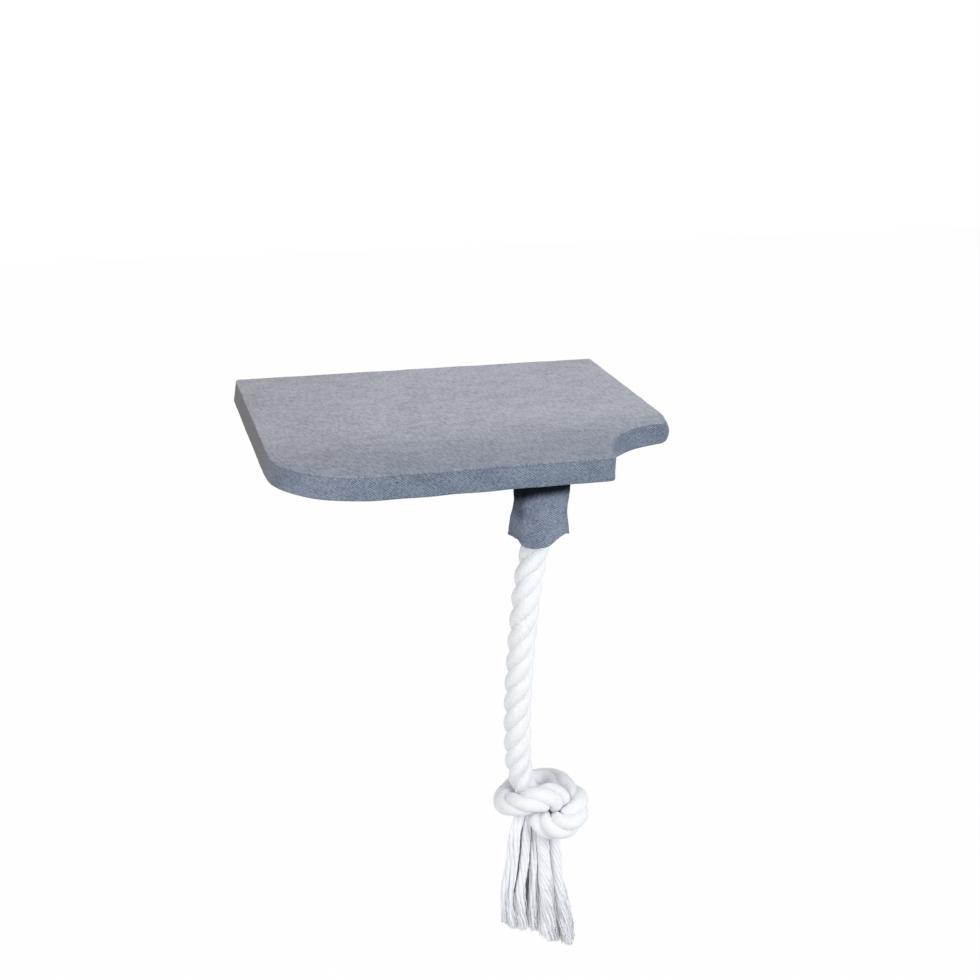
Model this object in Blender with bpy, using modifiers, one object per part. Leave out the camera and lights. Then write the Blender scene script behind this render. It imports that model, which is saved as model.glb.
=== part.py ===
"""Cat wall platform: a padded, cloth-covered board on two wall brackets, with a knotted rope below it.

The wall is the plane y = 0 and the board runs from it towards -y. The origin is the middle of the
board's rear edge, which bears on the wall. Metres, +Z up.
"""
import math

import bmesh
import bpy
import numpy as np
from mathutils import Matrix, Vector

MM = 0.001

# The board seen from above
BOARD_WIDTH = 0.400
BOARD_DEPTH = 0.330
ROUND_CORNER_ALONG_FRONT = 0.088
ROUND_CORNER_ALONG_SIDE = 0.076
NOTCH_RADIUS = 0.0905
FRONT_CUSP_RADIUS = 0.005
RIGHT_CUSP_RADIUS = 0.012
REAR_CORNER_RADIUS = 0.004
LEAST_CORNER_RADIUS = 0.0005

# The board's layers
FABRIC_THICKNESS = 0.0012
FOAM_THICKNESS = 0.0050
CORE_THICKNESS = 0.0160
LINING_THICKNESS = 0.0006
TURN_IN_WIDTH = 0.028
LINING_MARGIN = 0.012
PANEL_EDGE_ROUNDING = 0.0009
BAND_FOLD_RADIUS = 0.0024
FOAM_EDGE_ROUNDING = 0.0020
CORE_EDGE_ROUNDING = 0.0012

# Clearances
TOUCH_GAP = 0.0003
HOLE_CLEARANCE = 0.0003
CUT_OVERRUN = 0.002

# Wall brackets, bent from flat bar, with a welded gusset
BRACKET_FROM_SIDE = 0.075
BRACKET_WIDTH = 0.030
BRACKET_THICKNESS = 0.003
BRACKET_ARM = 0.200
BRACKET_LEG = 0.075
BRACKET_BEND_RADIUS = 0.006
BRACKET_END_ROUNDING = 0.004
GUSSET_REACH = 0.040
GUSSET_THICKNESS = 0.003
ARM_HOLE_FIRST = 0.062
ARM_HOLE_PITCH = 0.058
ARM_HOLE_COUNT = 3
WALL_HOLE_DIAMETER = 0.006
WALL_HOLE_SPREAD = 0.018
WALL_HOLE_UPPER = 0.022
WALL_HOLE_LOWER = 0.062

# Wood screws
SCREW_DIAMETER = 0.004
SCREW_HEAD_DIAMETER = 0.008
SCREW_HEAD_HEIGHT = 0.0026
SCREW_TAPER = 0.004
SCREW_RECESS_WIDTH = 0.0011
SCREW_RECESS_SPAN = 0.0044
SCREW_RECESS_DEPTH = 0.0013
BRACKET_SCREW_LENGTH = 0.014
BLOCK_SCREW_LENGTH = 0.022

# Where the rope hangs from the board, and the round block that the cuff is fixed round
HANG_FROM_RIGHT = 0.1472
HANG_SETBACK = 0.050
BLOCK_DIAMETER = 0.0500
BLOCK_THICKNESS = 0.012
BLOCK_SCREW_FROM_RIM = 0.009

# Cuff, a sleeve of two cloth pieces with a seam on each side
CUFF_WALL = 0.0016
CUFF_DROP = 0.0662
CUFF_FLARE = 0.0007
CUFF_SEAM_STANDS_OUT = 0.0013
CUFF_HEM_DIP = 0.003
CUFF_RINGS = 9
CUFF_SEGMENTS = 40

# Tee nut and eye bolt
BOLT_DIAMETER = 0.006
TEE_NUT_FLANGE_DIAMETER = 0.019
TEE_NUT_FLANGE_THICKNESS = 0.0013
TEE_NUT_BARREL_DIAMETER = 0.0086
TEE_NUT_LENGTH = 0.009
TEE_NUT_PRONG_CIRCLE = 0.0150
TEE_NUT_PRONG_WIDTH = 0.0024
TEE_NUT_PRONG_THICKNESS = 0.0012
TEE_NUT_PRONG_LENGTH = 0.0050
TEE_NUT_SUNK = 0.0003
BOLT_END_BELOW_FOAM = 0.0016
BOLT_COLLAR_DIAMETER = 0.014
BOLT_COLLAR_HEIGHT = 0.0020
EYE_BORE = 0.012
EYE_WIRE = 0.004
EYE_SUNK_IN_COLLAR = 0.0006

# Oval link
LINK_WIRE = 0.004
LINK_INNER_LENGTH = 0.012
LINK_INNER_WIDTH = 0.010

# Rope cap: a cup with a bail, crimped round the rope's end
BAIL_WIRE = 0.004
BAIL_BORE = 0.009
BAIL_SUNK_IN_CAP = 0.0020
CAP_DIAMETER = 0.028
CAP_WALL = 0.0010
CAP_LENGTH = 0.018
CAP_CROWN_DIAMETER = 0.017
CAP_SHOULDER = 0.0045
CAP_FLOOR = 0.0035
CAP_CRIMP_DEPTH = 0.0004
CAP_CRIMP_WIDTH = 0.0030
CAP_TILT = math.radians(7)
ROPE_IN_CAP_CLEARANCE = 0.0004

# Rope: the route's points after the cap, and through the knot, about the rope's own pivot and chosen
# by hand
ROPE_DIAMETER = 0.028
ROPE_SIDES_RESOLUTION = 4
ROPE_SWELLS_OVER = 0.004
ROPE_STEP = 0.020
END_STUB = 0.005
ROPE_ROUTE = [
    (-0.0058, 0.0000, -0.0418), (-0.0097, 0.0003, -0.0663), (-0.0126, 0.0017, -0.1033),
    (-0.0146, 0.0035, -0.1433), (-0.0153, 0.0060, -0.1832), (-0.0149, 0.0082, -0.2193),
    (-0.0138, 0.0090, -0.2542),
]
KNOT_ROUTE = [
    (-0.0138, 0.0090, -0.2542), (-0.0130, 0.0090, -0.2692), (-0.0108, 0.0080, -0.2843),
    (-0.0078, 0.0050, -0.2992), (-0.0028, -0.0010, -0.3122), (0.0002, -0.0110, -0.3232),
    (0.0042, -0.0240, -0.3282), (0.0142, -0.0350, -0.3272), (0.0262, -0.0400, -0.3202),
    (0.0372, -0.0360, -0.3112), (0.0442, -0.0240, -0.3072), (0.0462, -0.0090, -0.3082),
    (0.0432, 0.0050, -0.3112), (0.0382, 0.0190, -0.3132), (0.0282, 0.0310, -0.3142),
    (0.0142, 0.0360, -0.3162), (0.0002, 0.0340, -0.3182), (-0.0128, 0.0270, -0.3192),
    (-0.0228, 0.0150, -0.3192), (-0.0278, 0.0010, -0.3162), (-0.0248, -0.0120, -0.3112),
    (-0.0148, -0.0220, -0.3062), (-0.0008, -0.0260, -0.3022), (0.0132, -0.0230, -0.3052),
    (0.0222, -0.0150, -0.3132), (0.0272, -0.0100, -0.3272), (0.0252, -0.0060, -0.3392),
    (0.0222, -0.0047, -0.3463),
]
KNOT_DRAWN_IN_shares = [1.0, 0.97, 0.92, 0.86]
KNOT_TIGHT_share = 0.83
KNOT_STEP = 0.0115

# Tassel: the rope's end, unlaid into yarns
TASSEL_LENGTH = 0.137
TASSEL_TOP_WIDTH = 0.024
TASSEL_SHOULDER_WIDTH = 0.054
TASSEL_SHOULDER_DROP = 0.016
TASSEL_FOOT_WIDTH = 0.078
TASSEL_FOOT_SHIFT = -0.009
TASSEL_DEPTH_share = 0.46
TASSEL_YARNS = 11
TASSEL_BUNDLE_STEPS = 6
TASSEL_GROOVE_share = 0.28
TASSEL_FOOT_SLANT = 0.36
TASSEL_FOOT_RAGGED = 0.0025
TASSEL_RINGS = 12

ROUND_STEPS = 24
SMALL_ROUND_STEPS = 12
ARC_STEPS = 12
NOTCH_STEPS = 20

BRACKET_SPREAD = BOARD_WIDTH - BRACKET_FROM_SIDE * 2

# Levels, worked out from the layers: the board's visible edge is the two fabric layers and what they hold
EDGE_HEIGHT = FABRIC_THICKNESS * 2 + FOAM_THICKNESS + CORE_THICKNESS + TOUCH_GAP * 3
BOARD_TOP = EDGE_HEIGHT / 2
PANEL_UNDERSIDE = BOARD_TOP - FABRIC_THICKNESS
FOAM_TOP = PANEL_UNDERSIDE - TOUCH_GAP
CORE_TOP = FOAM_TOP - FOAM_THICKNESS - TOUCH_GAP
CORE_UNDERSIDE = CORE_TOP - CORE_THICKNESS
TURN_IN_TOP = CORE_UNDERSIDE - TOUCH_GAP
BAND_UNDERSIDE = TURN_IN_TOP - FABRIC_THICKNESS
LINING_TOP = BAND_UNDERSIDE - TOUCH_GAP
LINING_UNDERSIDE = LINING_TOP - LINING_THICKNESS
FIXING_PLANE = LINING_UNDERSIDE - TOUCH_GAP
CORE_INSET = FABRIC_THICKNESS + TOUCH_GAP

# The hanging chain, from the block down
HANG_X = BOARD_WIDTH / 2 - HANG_FROM_RIGHT
HANG_Y = HANG_SETBACK - BOARD_DEPTH
BLOCK_UNDERSIDE = FIXING_PLANE - BLOCK_THICKNESS
BLOCK_SCREW_SPREAD = BLOCK_DIAMETER - BLOCK_SCREW_FROM_RIM * 2
COLLAR_TOP = BLOCK_UNDERSIDE - TOUCH_GAP
EYE_RADIUS = (EYE_BORE + EYE_WIRE) / 2
EYE_CENTRE = COLLAR_TOP - BOLT_COLLAR_HEIGHT + EYE_SUNK_IN_COLLAR - EYE_RADIUS - EYE_WIRE / 2
LINK_PIVOT = Vector((HANG_X, HANG_Y, EYE_CENTRE - EYE_RADIUS))
LINK_TOP_WIRE = EYE_WIRE / 2 + LINK_WIRE / 2 + TOUCH_GAP
LINK_WIRE_SPAN = LINK_INNER_LENGTH + LINK_WIRE
ROPE_PIVOT = LINK_PIVOT + Vector((0, 0, LINK_TOP_WIRE - LINK_WIRE_SPAN))
BAIL_RADIUS = (BAIL_BORE + BAIL_WIRE) / 2
BAIL_CENTRE = LINK_WIRE / 2 + BAIL_WIRE / 2 + TOUCH_GAP - BAIL_RADIUS
CAP_TOP = BAIL_CENTRE - BAIL_RADIUS - BAIL_WIRE / 2 + BAIL_SUNK_IN_CAP
CAP_MOUTH = CAP_TOP - CAP_LENGTH
CAP_TURN = Matrix.Rotation(CAP_TILT, 4, "Y")


def clear_scene():
    """Remove what the scene holds and give back the collections for the parts and the cutters."""
    for old in list(bpy.data.objects):
        bpy.data.objects.remove(old, do_unlink=True)
    made = []
    for name in ("cat_wall_platform", "cutters"):
        collection = bpy.data.collections.new(name)
        bpy.context.scene.collection.children.link(collection)
        made.append(collection)
    return made


PARTS, CUTTERS = clear_scene()


def finish(name, colour, roughness, metallic=0.0):
    """A Principled material in one colour."""
    material = bpy.data.materials.new(name)
    material.use_nodes = True
    shader = material.node_tree.nodes["Principled BSDF"]
    shader.inputs["Base Color"].default_value = (*colour, 1)
    shader.inputs["Roughness"].default_value = roughness
    shader.inputs["Metallic"].default_value = metallic
    material.diffuse_color = (*colour, 1)
    return material


def add_part(name, data, material, location=(0, 0, 0), parent=None):
    """Put a mesh or curve in the scene as one named sub-part."""
    part = bpy.data.objects.new(name, data)
    PARTS.objects.link(part)
    data.materials.clear()
    data.materials.append(material)
    part.location = location
    part.parent = parent
    return part


def add_cutter(name, mesh, location=(0, 0, 0)):
    """Put a mesh in the scene as a cutter, which is no part of the object."""
    cutter = bpy.data.objects.new(name, mesh)
    CUTTERS.objects.link(cutter)
    cutter.location = location
    cutter.hide_render = True
    cutter.display_type = "WIRE"
    return cutter


def combine(part, cutter, operation="DIFFERENCE"):
    """Cut one object by another, or join the two."""
    boolean = part.modifiers.new(cutter.name, "BOOLEAN")
    boolean.operation = operation
    boolean.solver = "EXACT"
    boolean.object = cutter


def evaluated_mesh(source, name):
    """Mesh of an object as its modifiers leave it, with its loose caps welded."""
    bpy.context.view_layer.update()
    seen = source.evaluated_get(bpy.context.evaluated_depsgraph_get())
    mesh = bpy.data.meshes.new_from_object(seen)
    mesh.name = name
    shape = bmesh.new()
    shape.from_mesh(mesh)
    bmesh.ops.remove_doubles(shape, verts=shape.verts, dist=MM / 100)
    bmesh.ops.recalc_face_normals(shape, faces=shape.faces)
    shape.to_mesh(mesh)
    shape.free()
    return mesh


def raised_outline(name, points, low, high, turn=None):
    """Mesh of a flat outline filled and raised from low to high, drawn as a 2D curve, then turned."""
    curve = bpy.data.curves.new(name, "CURVE")
    curve.dimensions = "2D"
    curve.fill_mode = "BOTH"
    curve.extrude = (high - low) / 2
    spline = curve.splines.new("POLY")
    spline.points.add(len(points) - 1)
    for point, (x, y) in zip(spline.points, points):
        point.co = (x, y, 0, 1)
    spline.use_cyclic_u = True
    drawn = bpy.data.objects.new(name, curve)
    PARTS.objects.link(drawn)
    mesh = evaluated_mesh(drawn, name)
    bpy.data.objects.remove(drawn, do_unlink=True)
    mesh.transform(Matrix.Translation((0, 0, (low + high) / 2)))
    if turn is not None:
        mesh.transform(turn)
    return mesh


def round_rim(mesh, level, radius, steps=3):
    """Round the outer rim of a raised outline at one level."""
    shape = bmesh.new()
    shape.from_mesh(mesh)
    rim = [edge for edge in shape.edges
           if all(abs(corner.co.z - level) < MM / 10 for corner in edge.verts)
           and len(edge.link_faces) == 2 and edge.calc_face_angle() > math.radians(60)]
    bmesh.ops.bevel(shape, geom=rim, offset=radius, segments=steps, profile=0.5, affect="EDGES",
                    clamp_overlap=True)
    shape.to_mesh(mesh)
    shape.free()
    return mesh


def cylinder_mesh(name, diameter, low, high, steps=ROUND_STEPS):
    """Mesh of an upright round bar from low to high."""
    shape = bmesh.new()
    bmesh.ops.create_cone(shape, cap_ends=True, segments=steps, radius1=diameter / 2, radius2=diameter / 2,
                          depth=high - low, matrix=Matrix.Translation((0, 0, (low + high) / 2)))
    mesh = bpy.data.meshes.new(name)
    shape.to_mesh(mesh)
    shape.free()
    return mesh


def box_mesh(name, low, high):
    """Mesh of a box between two corners."""
    low = Vector(low)
    high = Vector(high)
    shape = bmesh.new()
    bmesh.ops.create_cube(shape, size=1,
                          matrix=Matrix.LocRotScale((low + high) / 2, None, high - low))
    mesh = bpy.data.meshes.new(name)
    shape.to_mesh(mesh)
    shape.free()
    return mesh


def join_meshes(name, meshes):
    """One mesh of several that don't touch, for a cutter that cuts in several places."""
    shape = bmesh.new()
    for mesh in meshes:
        shape.from_mesh(mesh)
    joined = bpy.data.meshes.new(name)
    shape.to_mesh(joined)
    shape.free()
    return joined


def moved(mesh, place):
    """Copy of a mesh, moved."""
    copy = mesh.copy()
    copy.transform(Matrix.Translation(place))
    return copy


def turned_object(name, profile, steps, closed=False):
    """Helper object of a profile of (radius, height) points turned about Z, top to bottom outside."""
    mesh = bpy.data.meshes.new(name)
    corners = [(radius, 0, height) for radius, height in profile]
    edges = [(k, k + 1) for k in range(len(corners) - 1)]
    if closed:
        edges.append((len(corners) - 1, 0))
    mesh.from_pydata(corners, edges, [])
    turned = bpy.data.objects.new(name, mesh)
    PARTS.objects.link(turned)
    screw = turned.modifiers.new("turn", "SCREW")
    screw.steps = steps
    screw.render_steps = steps
    screw.use_merge_vertices = True
    screw.merge_threshold = MM / 100
    return turned


def turned_mesh(name, profile, steps, closed=False):
    """Mesh of a turned profile."""
    turned = turned_object(name, profile, steps, closed)
    mesh = evaluated_mesh(turned, name)
    bpy.data.objects.remove(turned, do_unlink=True)
    return mesh


def shade_round(mesh, angle=35):
    """Shade smooth, with edges past the angle kept sharp."""
    mesh.shade_smooth()
    mesh.set_sharp_from_angle(angle=math.radians(angle))


def wire_ring(name, points, wire, resolution=3):
    """Mesh of a closed ring of round wire through points."""
    curve = bpy.data.curves.new(name, "CURVE")
    curve.dimensions = "3D"
    curve.bevel_depth = wire / 2
    curve.bevel_resolution = resolution
    spline = curve.splines.new("POLY")
    spline.points.add(len(points) - 1)
    for point, place in zip(spline.points, points):
        point.co = (*place, 1)
    spline.use_cyclic_u = True
    drawn = bpy.data.objects.new(name, curve)
    PARTS.objects.link(drawn)
    mesh = evaluated_mesh(drawn, name)
    bpy.data.objects.remove(drawn, do_unlink=True)
    return mesh


def arc(centre, radius, start, end, steps):
    """Points on a round arc; angles in degrees, from start to end."""
    angles = np.radians(np.linspace(start, end, steps + 1))
    return [(centre[0] + radius * math.cos(a), centre[1] + radius * math.sin(a)) for a in angles]


def board_outline(inset):
    """The board's outline seen from above, moved inwards, counter-clockwise from the rear left corner.

    The front left corner is a quarter ellipse. The front right corner is cut away by a quarter circle
    about the corner that a plain board would have there. Its two cusps are rounded, the one on the
    right side more than the one in front.
    """
    half = BOARD_WIDTH / 2
    rear = max(REAR_CORNER_RADIUS - inset, LEAST_CORNER_RADIUS)
    points = arc((rear + inset - half, -rear - inset), rear, 90, 180, ARC_STEPS // 3)

    centre = (ROUND_CORNER_ALONG_FRONT - half, ROUND_CORNER_ALONG_SIDE - BOARD_DEPTH)
    for angle in np.radians(np.linspace(180, 270, ARC_STEPS + 1)):
        normal = Vector((ROUND_CORNER_ALONG_SIDE * math.cos(angle),
                         ROUND_CORNER_ALONG_FRONT * math.sin(angle))).normalized()
        points.append((centre[0] + ROUND_CORNER_ALONG_FRONT * math.cos(angle) - normal.x * inset,
                       centre[1] + ROUND_CORNER_ALONG_SIDE * math.sin(angle) - normal.y * inset))

    front = max(FRONT_CUSP_RADIUS - inset, LEAST_CORNER_RADIUS)
    right = max(RIGHT_CUSP_RADIUS - inset, LEAST_CORNER_RADIUS)
    notch = NOTCH_RADIUS + inset
    front_along = math.sqrt((notch + front) ** 2 - (inset + front) ** 2)
    right_along = math.sqrt((notch + right) ** 2 - (inset + right) ** 2)
    front_lean = math.degrees(math.atan2(inset + front, front_along))
    right_lean = math.degrees(math.atan2(inset + right, right_along))
    points += arc((half - front_along, inset + front - BOARD_DEPTH), front, -90, -front_lean, ARC_STEPS // 3)
    points += arc((half, -BOARD_DEPTH), notch, 180 - front_lean, 90 + right_lean, NOTCH_STEPS)[1:-1]
    points += arc((half - inset - right, right_along - BOARD_DEPTH), right, right_lean - 90, 0,
                  ARC_STEPS // 2)
    points += arc((half - inset - rear, -inset - rear), rear, 0, 90, ARC_STEPS // 3)
    return points


def bracket_screw_places():
    """Where the bracket screws stand: along each arm's middle line."""
    places = []
    for side in (-1, 1):
        for k in range(ARM_HOLE_COUNT):
            places.append((side * BRACKET_SPREAD / 2, -ARM_HOLE_FIRST - k * ARM_HOLE_PITCH))
    return places


def block_screw_places():
    """Where the two screws of the cuff block stand, left and right of the eye bolt."""
    return [(HANG_X + side * BLOCK_SCREW_SPREAD / 2, HANG_Y) for side in (-1, 1)]


def fixing_holes(name, places, diameter, low, high):
    """Cutter of upright holes, one at each place."""
    hole = cylinder_mesh(name, diameter, low, high, SMALL_ROUND_STEPS)
    return add_cutter(name, join_meshes(name, [moved(hole, (x, y, 0)) for x, y in places]))


def make_core_board(wood):
    """The plywood core, with the tee nut's seat and the screws' pilot holes."""
    mesh = raised_outline("core_board", board_outline(CORE_INSET), CORE_UNDERSIDE, CORE_TOP)
    round_rim(mesh, CORE_UNDERSIDE, CORE_EDGE_ROUNDING, 2)
    core = add_part("core_board", mesh, wood)
    bracket_tip = FIXING_PLANE - BRACKET_THICKNESS - TOUCH_GAP + BRACKET_SCREW_LENGTH
    block_tip = COLLAR_TOP + BLOCK_SCREW_LENGTH
    pilot = SCREW_DIAMETER + HOLE_CLEARANCE * 2
    combine(core, fixing_holes("bracket_pilot_holes", bracket_screw_places(), pilot,
                               CORE_UNDERSIDE - CUT_OVERRUN, bracket_tip + HOLE_CLEARANCE))
    combine(core, fixing_holes("block_pilot_holes", block_screw_places(), pilot,
                               CORE_UNDERSIDE - CUT_OVERRUN, block_tip + HOLE_CLEARANCE))
    hang = (HANG_X, HANG_Y, 0)
    flange_seat = CORE_TOP - TEE_NUT_SUNK - TEE_NUT_FLANGE_THICKNESS - TOUCH_GAP
    seat = cylinder_mesh("tee_nut_seat", TEE_NUT_FLANGE_DIAMETER + HOLE_CLEARANCE * 2, flange_seat,
                         CORE_TOP + CUT_OVERRUN)
    bore = cylinder_mesh("tee_nut_bore", TEE_NUT_BARREL_DIAMETER + HOLE_CLEARANCE * 2,
                         CORE_UNDERSIDE - CUT_OVERRUN, CORE_TOP + CUT_OVERRUN)
    combine(core, add_cutter("tee_nut_seat", moved(seat, hang)))
    combine(core, add_cutter("tee_nut_bore", moved(bore, hang)))
    pockets = [moved(mesh, hang) for mesh in prong_meshes(HOLE_CLEARANCE, flange_seat + CUT_OVERRUN / 4)]
    combine(core, add_cutter("tee_nut_prong_pockets", join_meshes("tee_nut_prong_pockets", pockets)))
    return core


def prong_meshes(grown, top):
    """The tee nut's four prongs, or the pockets that they stand in when grown by a clearance."""
    underside = CORE_TOP - TEE_NUT_SUNK - TEE_NUT_FLANGE_THICKNESS
    low = Vector((TEE_NUT_PRONG_CIRCLE / 2 - TEE_NUT_PRONG_THICKNESS / 2 - grown,
                  -TEE_NUT_PRONG_WIDTH / 2 - grown, underside - TEE_NUT_PRONG_LENGTH - grown))
    high = Vector((TEE_NUT_PRONG_CIRCLE / 2 + TEE_NUT_PRONG_THICKNESS / 2 + grown,
                   TEE_NUT_PRONG_WIDTH / 2 + grown, top))
    prongs = []
    for k in range(4):
        prong = box_mesh("prong", low, high)
        prong.transform(Matrix.Rotation(math.radians(45 + 90 * k), 4, "Z"))
        prongs.append(prong)
    return prongs


def make_tee_nut(steel):
    """Steel tee nut: a threaded barrel with a flange and four prongs, let into the core's top."""
    top = CORE_TOP - TEE_NUT_SUNK
    underside = top - TEE_NUT_FLANGE_THICKNESS
    bore = BOLT_DIAMETER / 2 + HOLE_CLEARANCE
    profile = [(bore, top), (TEE_NUT_FLANGE_DIAMETER / 2, top), (TEE_NUT_FLANGE_DIAMETER / 2, underside),
               (TEE_NUT_BARREL_DIAMETER / 2, underside),
               (TEE_NUT_BARREL_DIAMETER / 2, top - TEE_NUT_LENGTH), (bore, top - TEE_NUT_LENGTH)]
    mesh = turned_mesh("tee_nut", profile, ROUND_STEPS, closed=True)
    shade_round(mesh)
    nut = add_part("tee_nut", mesh, steel, (HANG_X, HANG_Y, 0))
    prongs = join_meshes("tee_nut_prongs", prong_meshes(0, underside + TEE_NUT_FLANGE_THICKNESS / 2))
    combine(nut, add_cutter("tee_nut_prongs", prongs, (HANG_X, HANG_Y, 0)), "UNION")
    return nut


def make_foam_pad(foam):
    """The thin foam pad on the core's top."""
    mesh = raised_outline("foam_pad", board_outline(CORE_INSET), FOAM_TOP - FOAM_THICKNESS, FOAM_TOP)
    round_rim(mesh, FOAM_TOP, FOAM_EDGE_ROUNDING)
    return add_part("foam_pad", mesh, foam)


def make_cover(cloth_top, cloth_band):
    """The cover: a top panel, and a side band whose margin is turned in under the core."""
    panel = raised_outline("cover_top_panel", board_outline(0), PANEL_UNDERSIDE, BOARD_TOP)
    round_rim(panel, BOARD_TOP, PANEL_EDGE_ROUNDING, 2)
    add_part("cover_top_panel", panel, cloth_top)

    band_top = PANEL_UNDERSIDE - TOUCH_GAP
    outer = raised_outline("cover_side_band", board_outline(0), BAND_UNDERSIDE, band_top)
    round_rim(outer, BAND_UNDERSIDE, BAND_FOLD_RADIUS)
    band = add_part("cover_side_band", outer, cloth_band)
    inner = raised_outline("band_inside", board_outline(FABRIC_THICKNESS), TURN_IN_TOP,
                           band_top + CUT_OVERRUN)
    round_rim(inner, TURN_IN_TOP, BAND_FOLD_RADIUS - FABRIC_THICKNESS, 2)
    combine(band, add_cutter("band_inside", inner))
    opening = raised_outline("band_turn_in", board_outline(FABRIC_THICKNESS + TURN_IN_WIDTH),
                             BAND_UNDERSIDE - CUT_OVERRUN, TURN_IN_TOP + CUT_OVERRUN)
    combine(band, add_cutter("band_turn_in", opening))


def make_lining(cloth):
    """The underside lining, which hides the staples, with holes where the fixings pass."""
    mesh = raised_outline("underside_lining", board_outline(CORE_INSET + LINING_MARGIN), LINING_UNDERSIDE,
                          LINING_TOP)
    lining = add_part("underside_lining", mesh, cloth)
    low = LINING_UNDERSIDE - CUT_OVERRUN
    high = LINING_TOP + CUT_OVERRUN
    places = bracket_screw_places() + block_screw_places()
    combine(lining, fixing_holes("lining_screw_holes", places, SCREW_DIAMETER + HOLE_CLEARANCE * 2, low,
                                 high))
    combine(lining, fixing_holes("lining_bolt_hole", [(HANG_X, HANG_Y)],
                                 BOLT_DIAMETER + HOLE_CLEARANCE * 2, low, high))
    return lining


def bracket_mesh():
    """One bracket about its own origin, the top of its bend at the wall.

    Its profile is drawn in a side view, where the drawing's x runs from the wall along the arm and
    its y runs up, and is raised by the bar's width; the gusset is a plate drawn in the same view.
    """
    side_view = Matrix(((0, 0, -1, 0), (-1, 0, 0, 0), (0, 1, 0, 0), (0, 0, 0, 1)))
    outer = BRACKET_BEND_RADIUS
    inner = outer - BRACKET_THICKNESS
    profile = [(0, -BRACKET_LEG), (BRACKET_THICKNESS, -BRACKET_LEG)]
    profile += arc((outer, -outer), inner, 180, 90, ARC_STEPS // 3)
    profile += [(BRACKET_ARM + CUT_OVERRUN, -BRACKET_THICKNESS), (BRACKET_ARM + CUT_OVERRUN, 0)]
    profile += arc((outer, -outer), outer, 90, 180, ARC_STEPS // 2)
    blank = raised_outline("bracket", profile, -BRACKET_WIDTH, BRACKET_WIDTH, side_view)
    bracket = add_part("bracket", blank, bpy.data.materials["bracket_paint"])
    half = BRACKET_WIDTH / 2
    end = BRACKET_END_ROUNDING
    plan = arc((end - half, end - BRACKET_ARM), end, 180, 270, ARC_STEPS // 3)
    plan += arc((half - end, end - BRACKET_ARM), end, 270, 360, ARC_STEPS // 3)
    plan += [(half, CUT_OVERRUN), (-half, CUT_OVERRUN)]
    width = raised_outline("bracket_plan", plan, -BRACKET_LEG - CUT_OVERRUN, CUT_OVERRUN)
    combine(bracket, add_cutter("bracket_plan", width), "INTERSECT")

    sunk = BRACKET_THICKNESS / 2
    gusset = [(outer, -sunk), (sunk, -outer), (sunk, -GUSSET_REACH),
              (BRACKET_THICKNESS + sunk, -GUSSET_REACH), (GUSSET_REACH, -BRACKET_THICKNESS - sunk),
              (GUSSET_REACH, -sunk)]
    plate = raised_outline("gusset", gusset, -GUSSET_THICKNESS / 2, GUSSET_THICKNESS / 2, side_view)
    combine(bracket, add_cutter("gusset", plate), "UNION")

    arm_holes = []
    for k in range(ARM_HOLE_COUNT):
        hole = cylinder_mesh("arm_hole", SCREW_DIAMETER + HOLE_CLEARANCE * 2,
                             -BRACKET_THICKNESS - CUT_OVERRUN, CUT_OVERRUN, SMALL_ROUND_STEPS)
        arm_holes.append(moved(hole, (0, -ARM_HOLE_FIRST - k * ARM_HOLE_PITCH, 0)))
    combine(bracket, add_cutter("arm_holes", join_meshes("arm_holes", arm_holes)))

    wall_holes = []
    for x, z in ((-WALL_HOLE_SPREAD / 2, -WALL_HOLE_UPPER), (WALL_HOLE_SPREAD / 2, -WALL_HOLE_UPPER),
                 (0, -WALL_HOLE_LOWER)):
        hole = cylinder_mesh("wall_hole", WALL_HOLE_DIAMETER, -CUT_OVERRUN,
                             BRACKET_THICKNESS + CUT_OVERRUN, SMALL_ROUND_STEPS)
        hole.transform(Matrix.Rotation(math.radians(90), 4, "X"))
        wall_holes.append(moved(hole, (x, 0, z)))
    combine(bracket, add_cutter("wall_holes", join_meshes("wall_holes", wall_holes)))

    mesh = evaluated_mesh(bracket, "bracket")
    bpy.data.objects.remove(bracket, do_unlink=True)
    return mesh


def make_brackets(paint):
    """Both brackets, which share one mesh."""
    mesh = bracket_mesh()
    for name, side in (("bracket_left", -1), ("bracket_right", 1)):
        add_part(name, mesh, paint, (side * BRACKET_SPREAD / 2, 0, FIXING_PLANE))


def wood_screw_mesh(name, length):
    """A pan head wood screw that points up, its head's seat at height zero."""
    thick = SCREW_DIAMETER / 2
    head = SCREW_HEAD_DIAMETER / 2
    profile = [(0, length), (thick * 0.35, length - SCREW_TAPER * 0.3), (thick, length - SCREW_TAPER),
               (thick, 0), (head, 0), (head, -SCREW_HEAD_HEIGHT * 0.35),
               (head * 0.86, -SCREW_HEAD_HEIGHT * 0.75), (head * 0.5, -SCREW_HEAD_HEIGHT),
               (0, -SCREW_HEAD_HEIGHT)]
    screw = turned_object(name, profile, SMALL_ROUND_STEPS)
    recess = []
    for span, width in ((SCREW_RECESS_SPAN, SCREW_RECESS_WIDTH), (SCREW_RECESS_WIDTH, SCREW_RECESS_SPAN)):
        recess.append(box_mesh("recess", (-span / 2, -width / 2, -SCREW_HEAD_HEIGHT - CUT_OVERRUN),
                               (span / 2, width / 2, -SCREW_HEAD_HEIGHT + SCREW_RECESS_DEPTH)))
    for k, mesh in enumerate(recess):
        combine(screw, add_cutter(f"{name}_recess_{k}", mesh))
    mesh = evaluated_mesh(screw, name)
    bpy.data.objects.remove(screw, do_unlink=True)
    shade_round(mesh)
    return mesh


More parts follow.
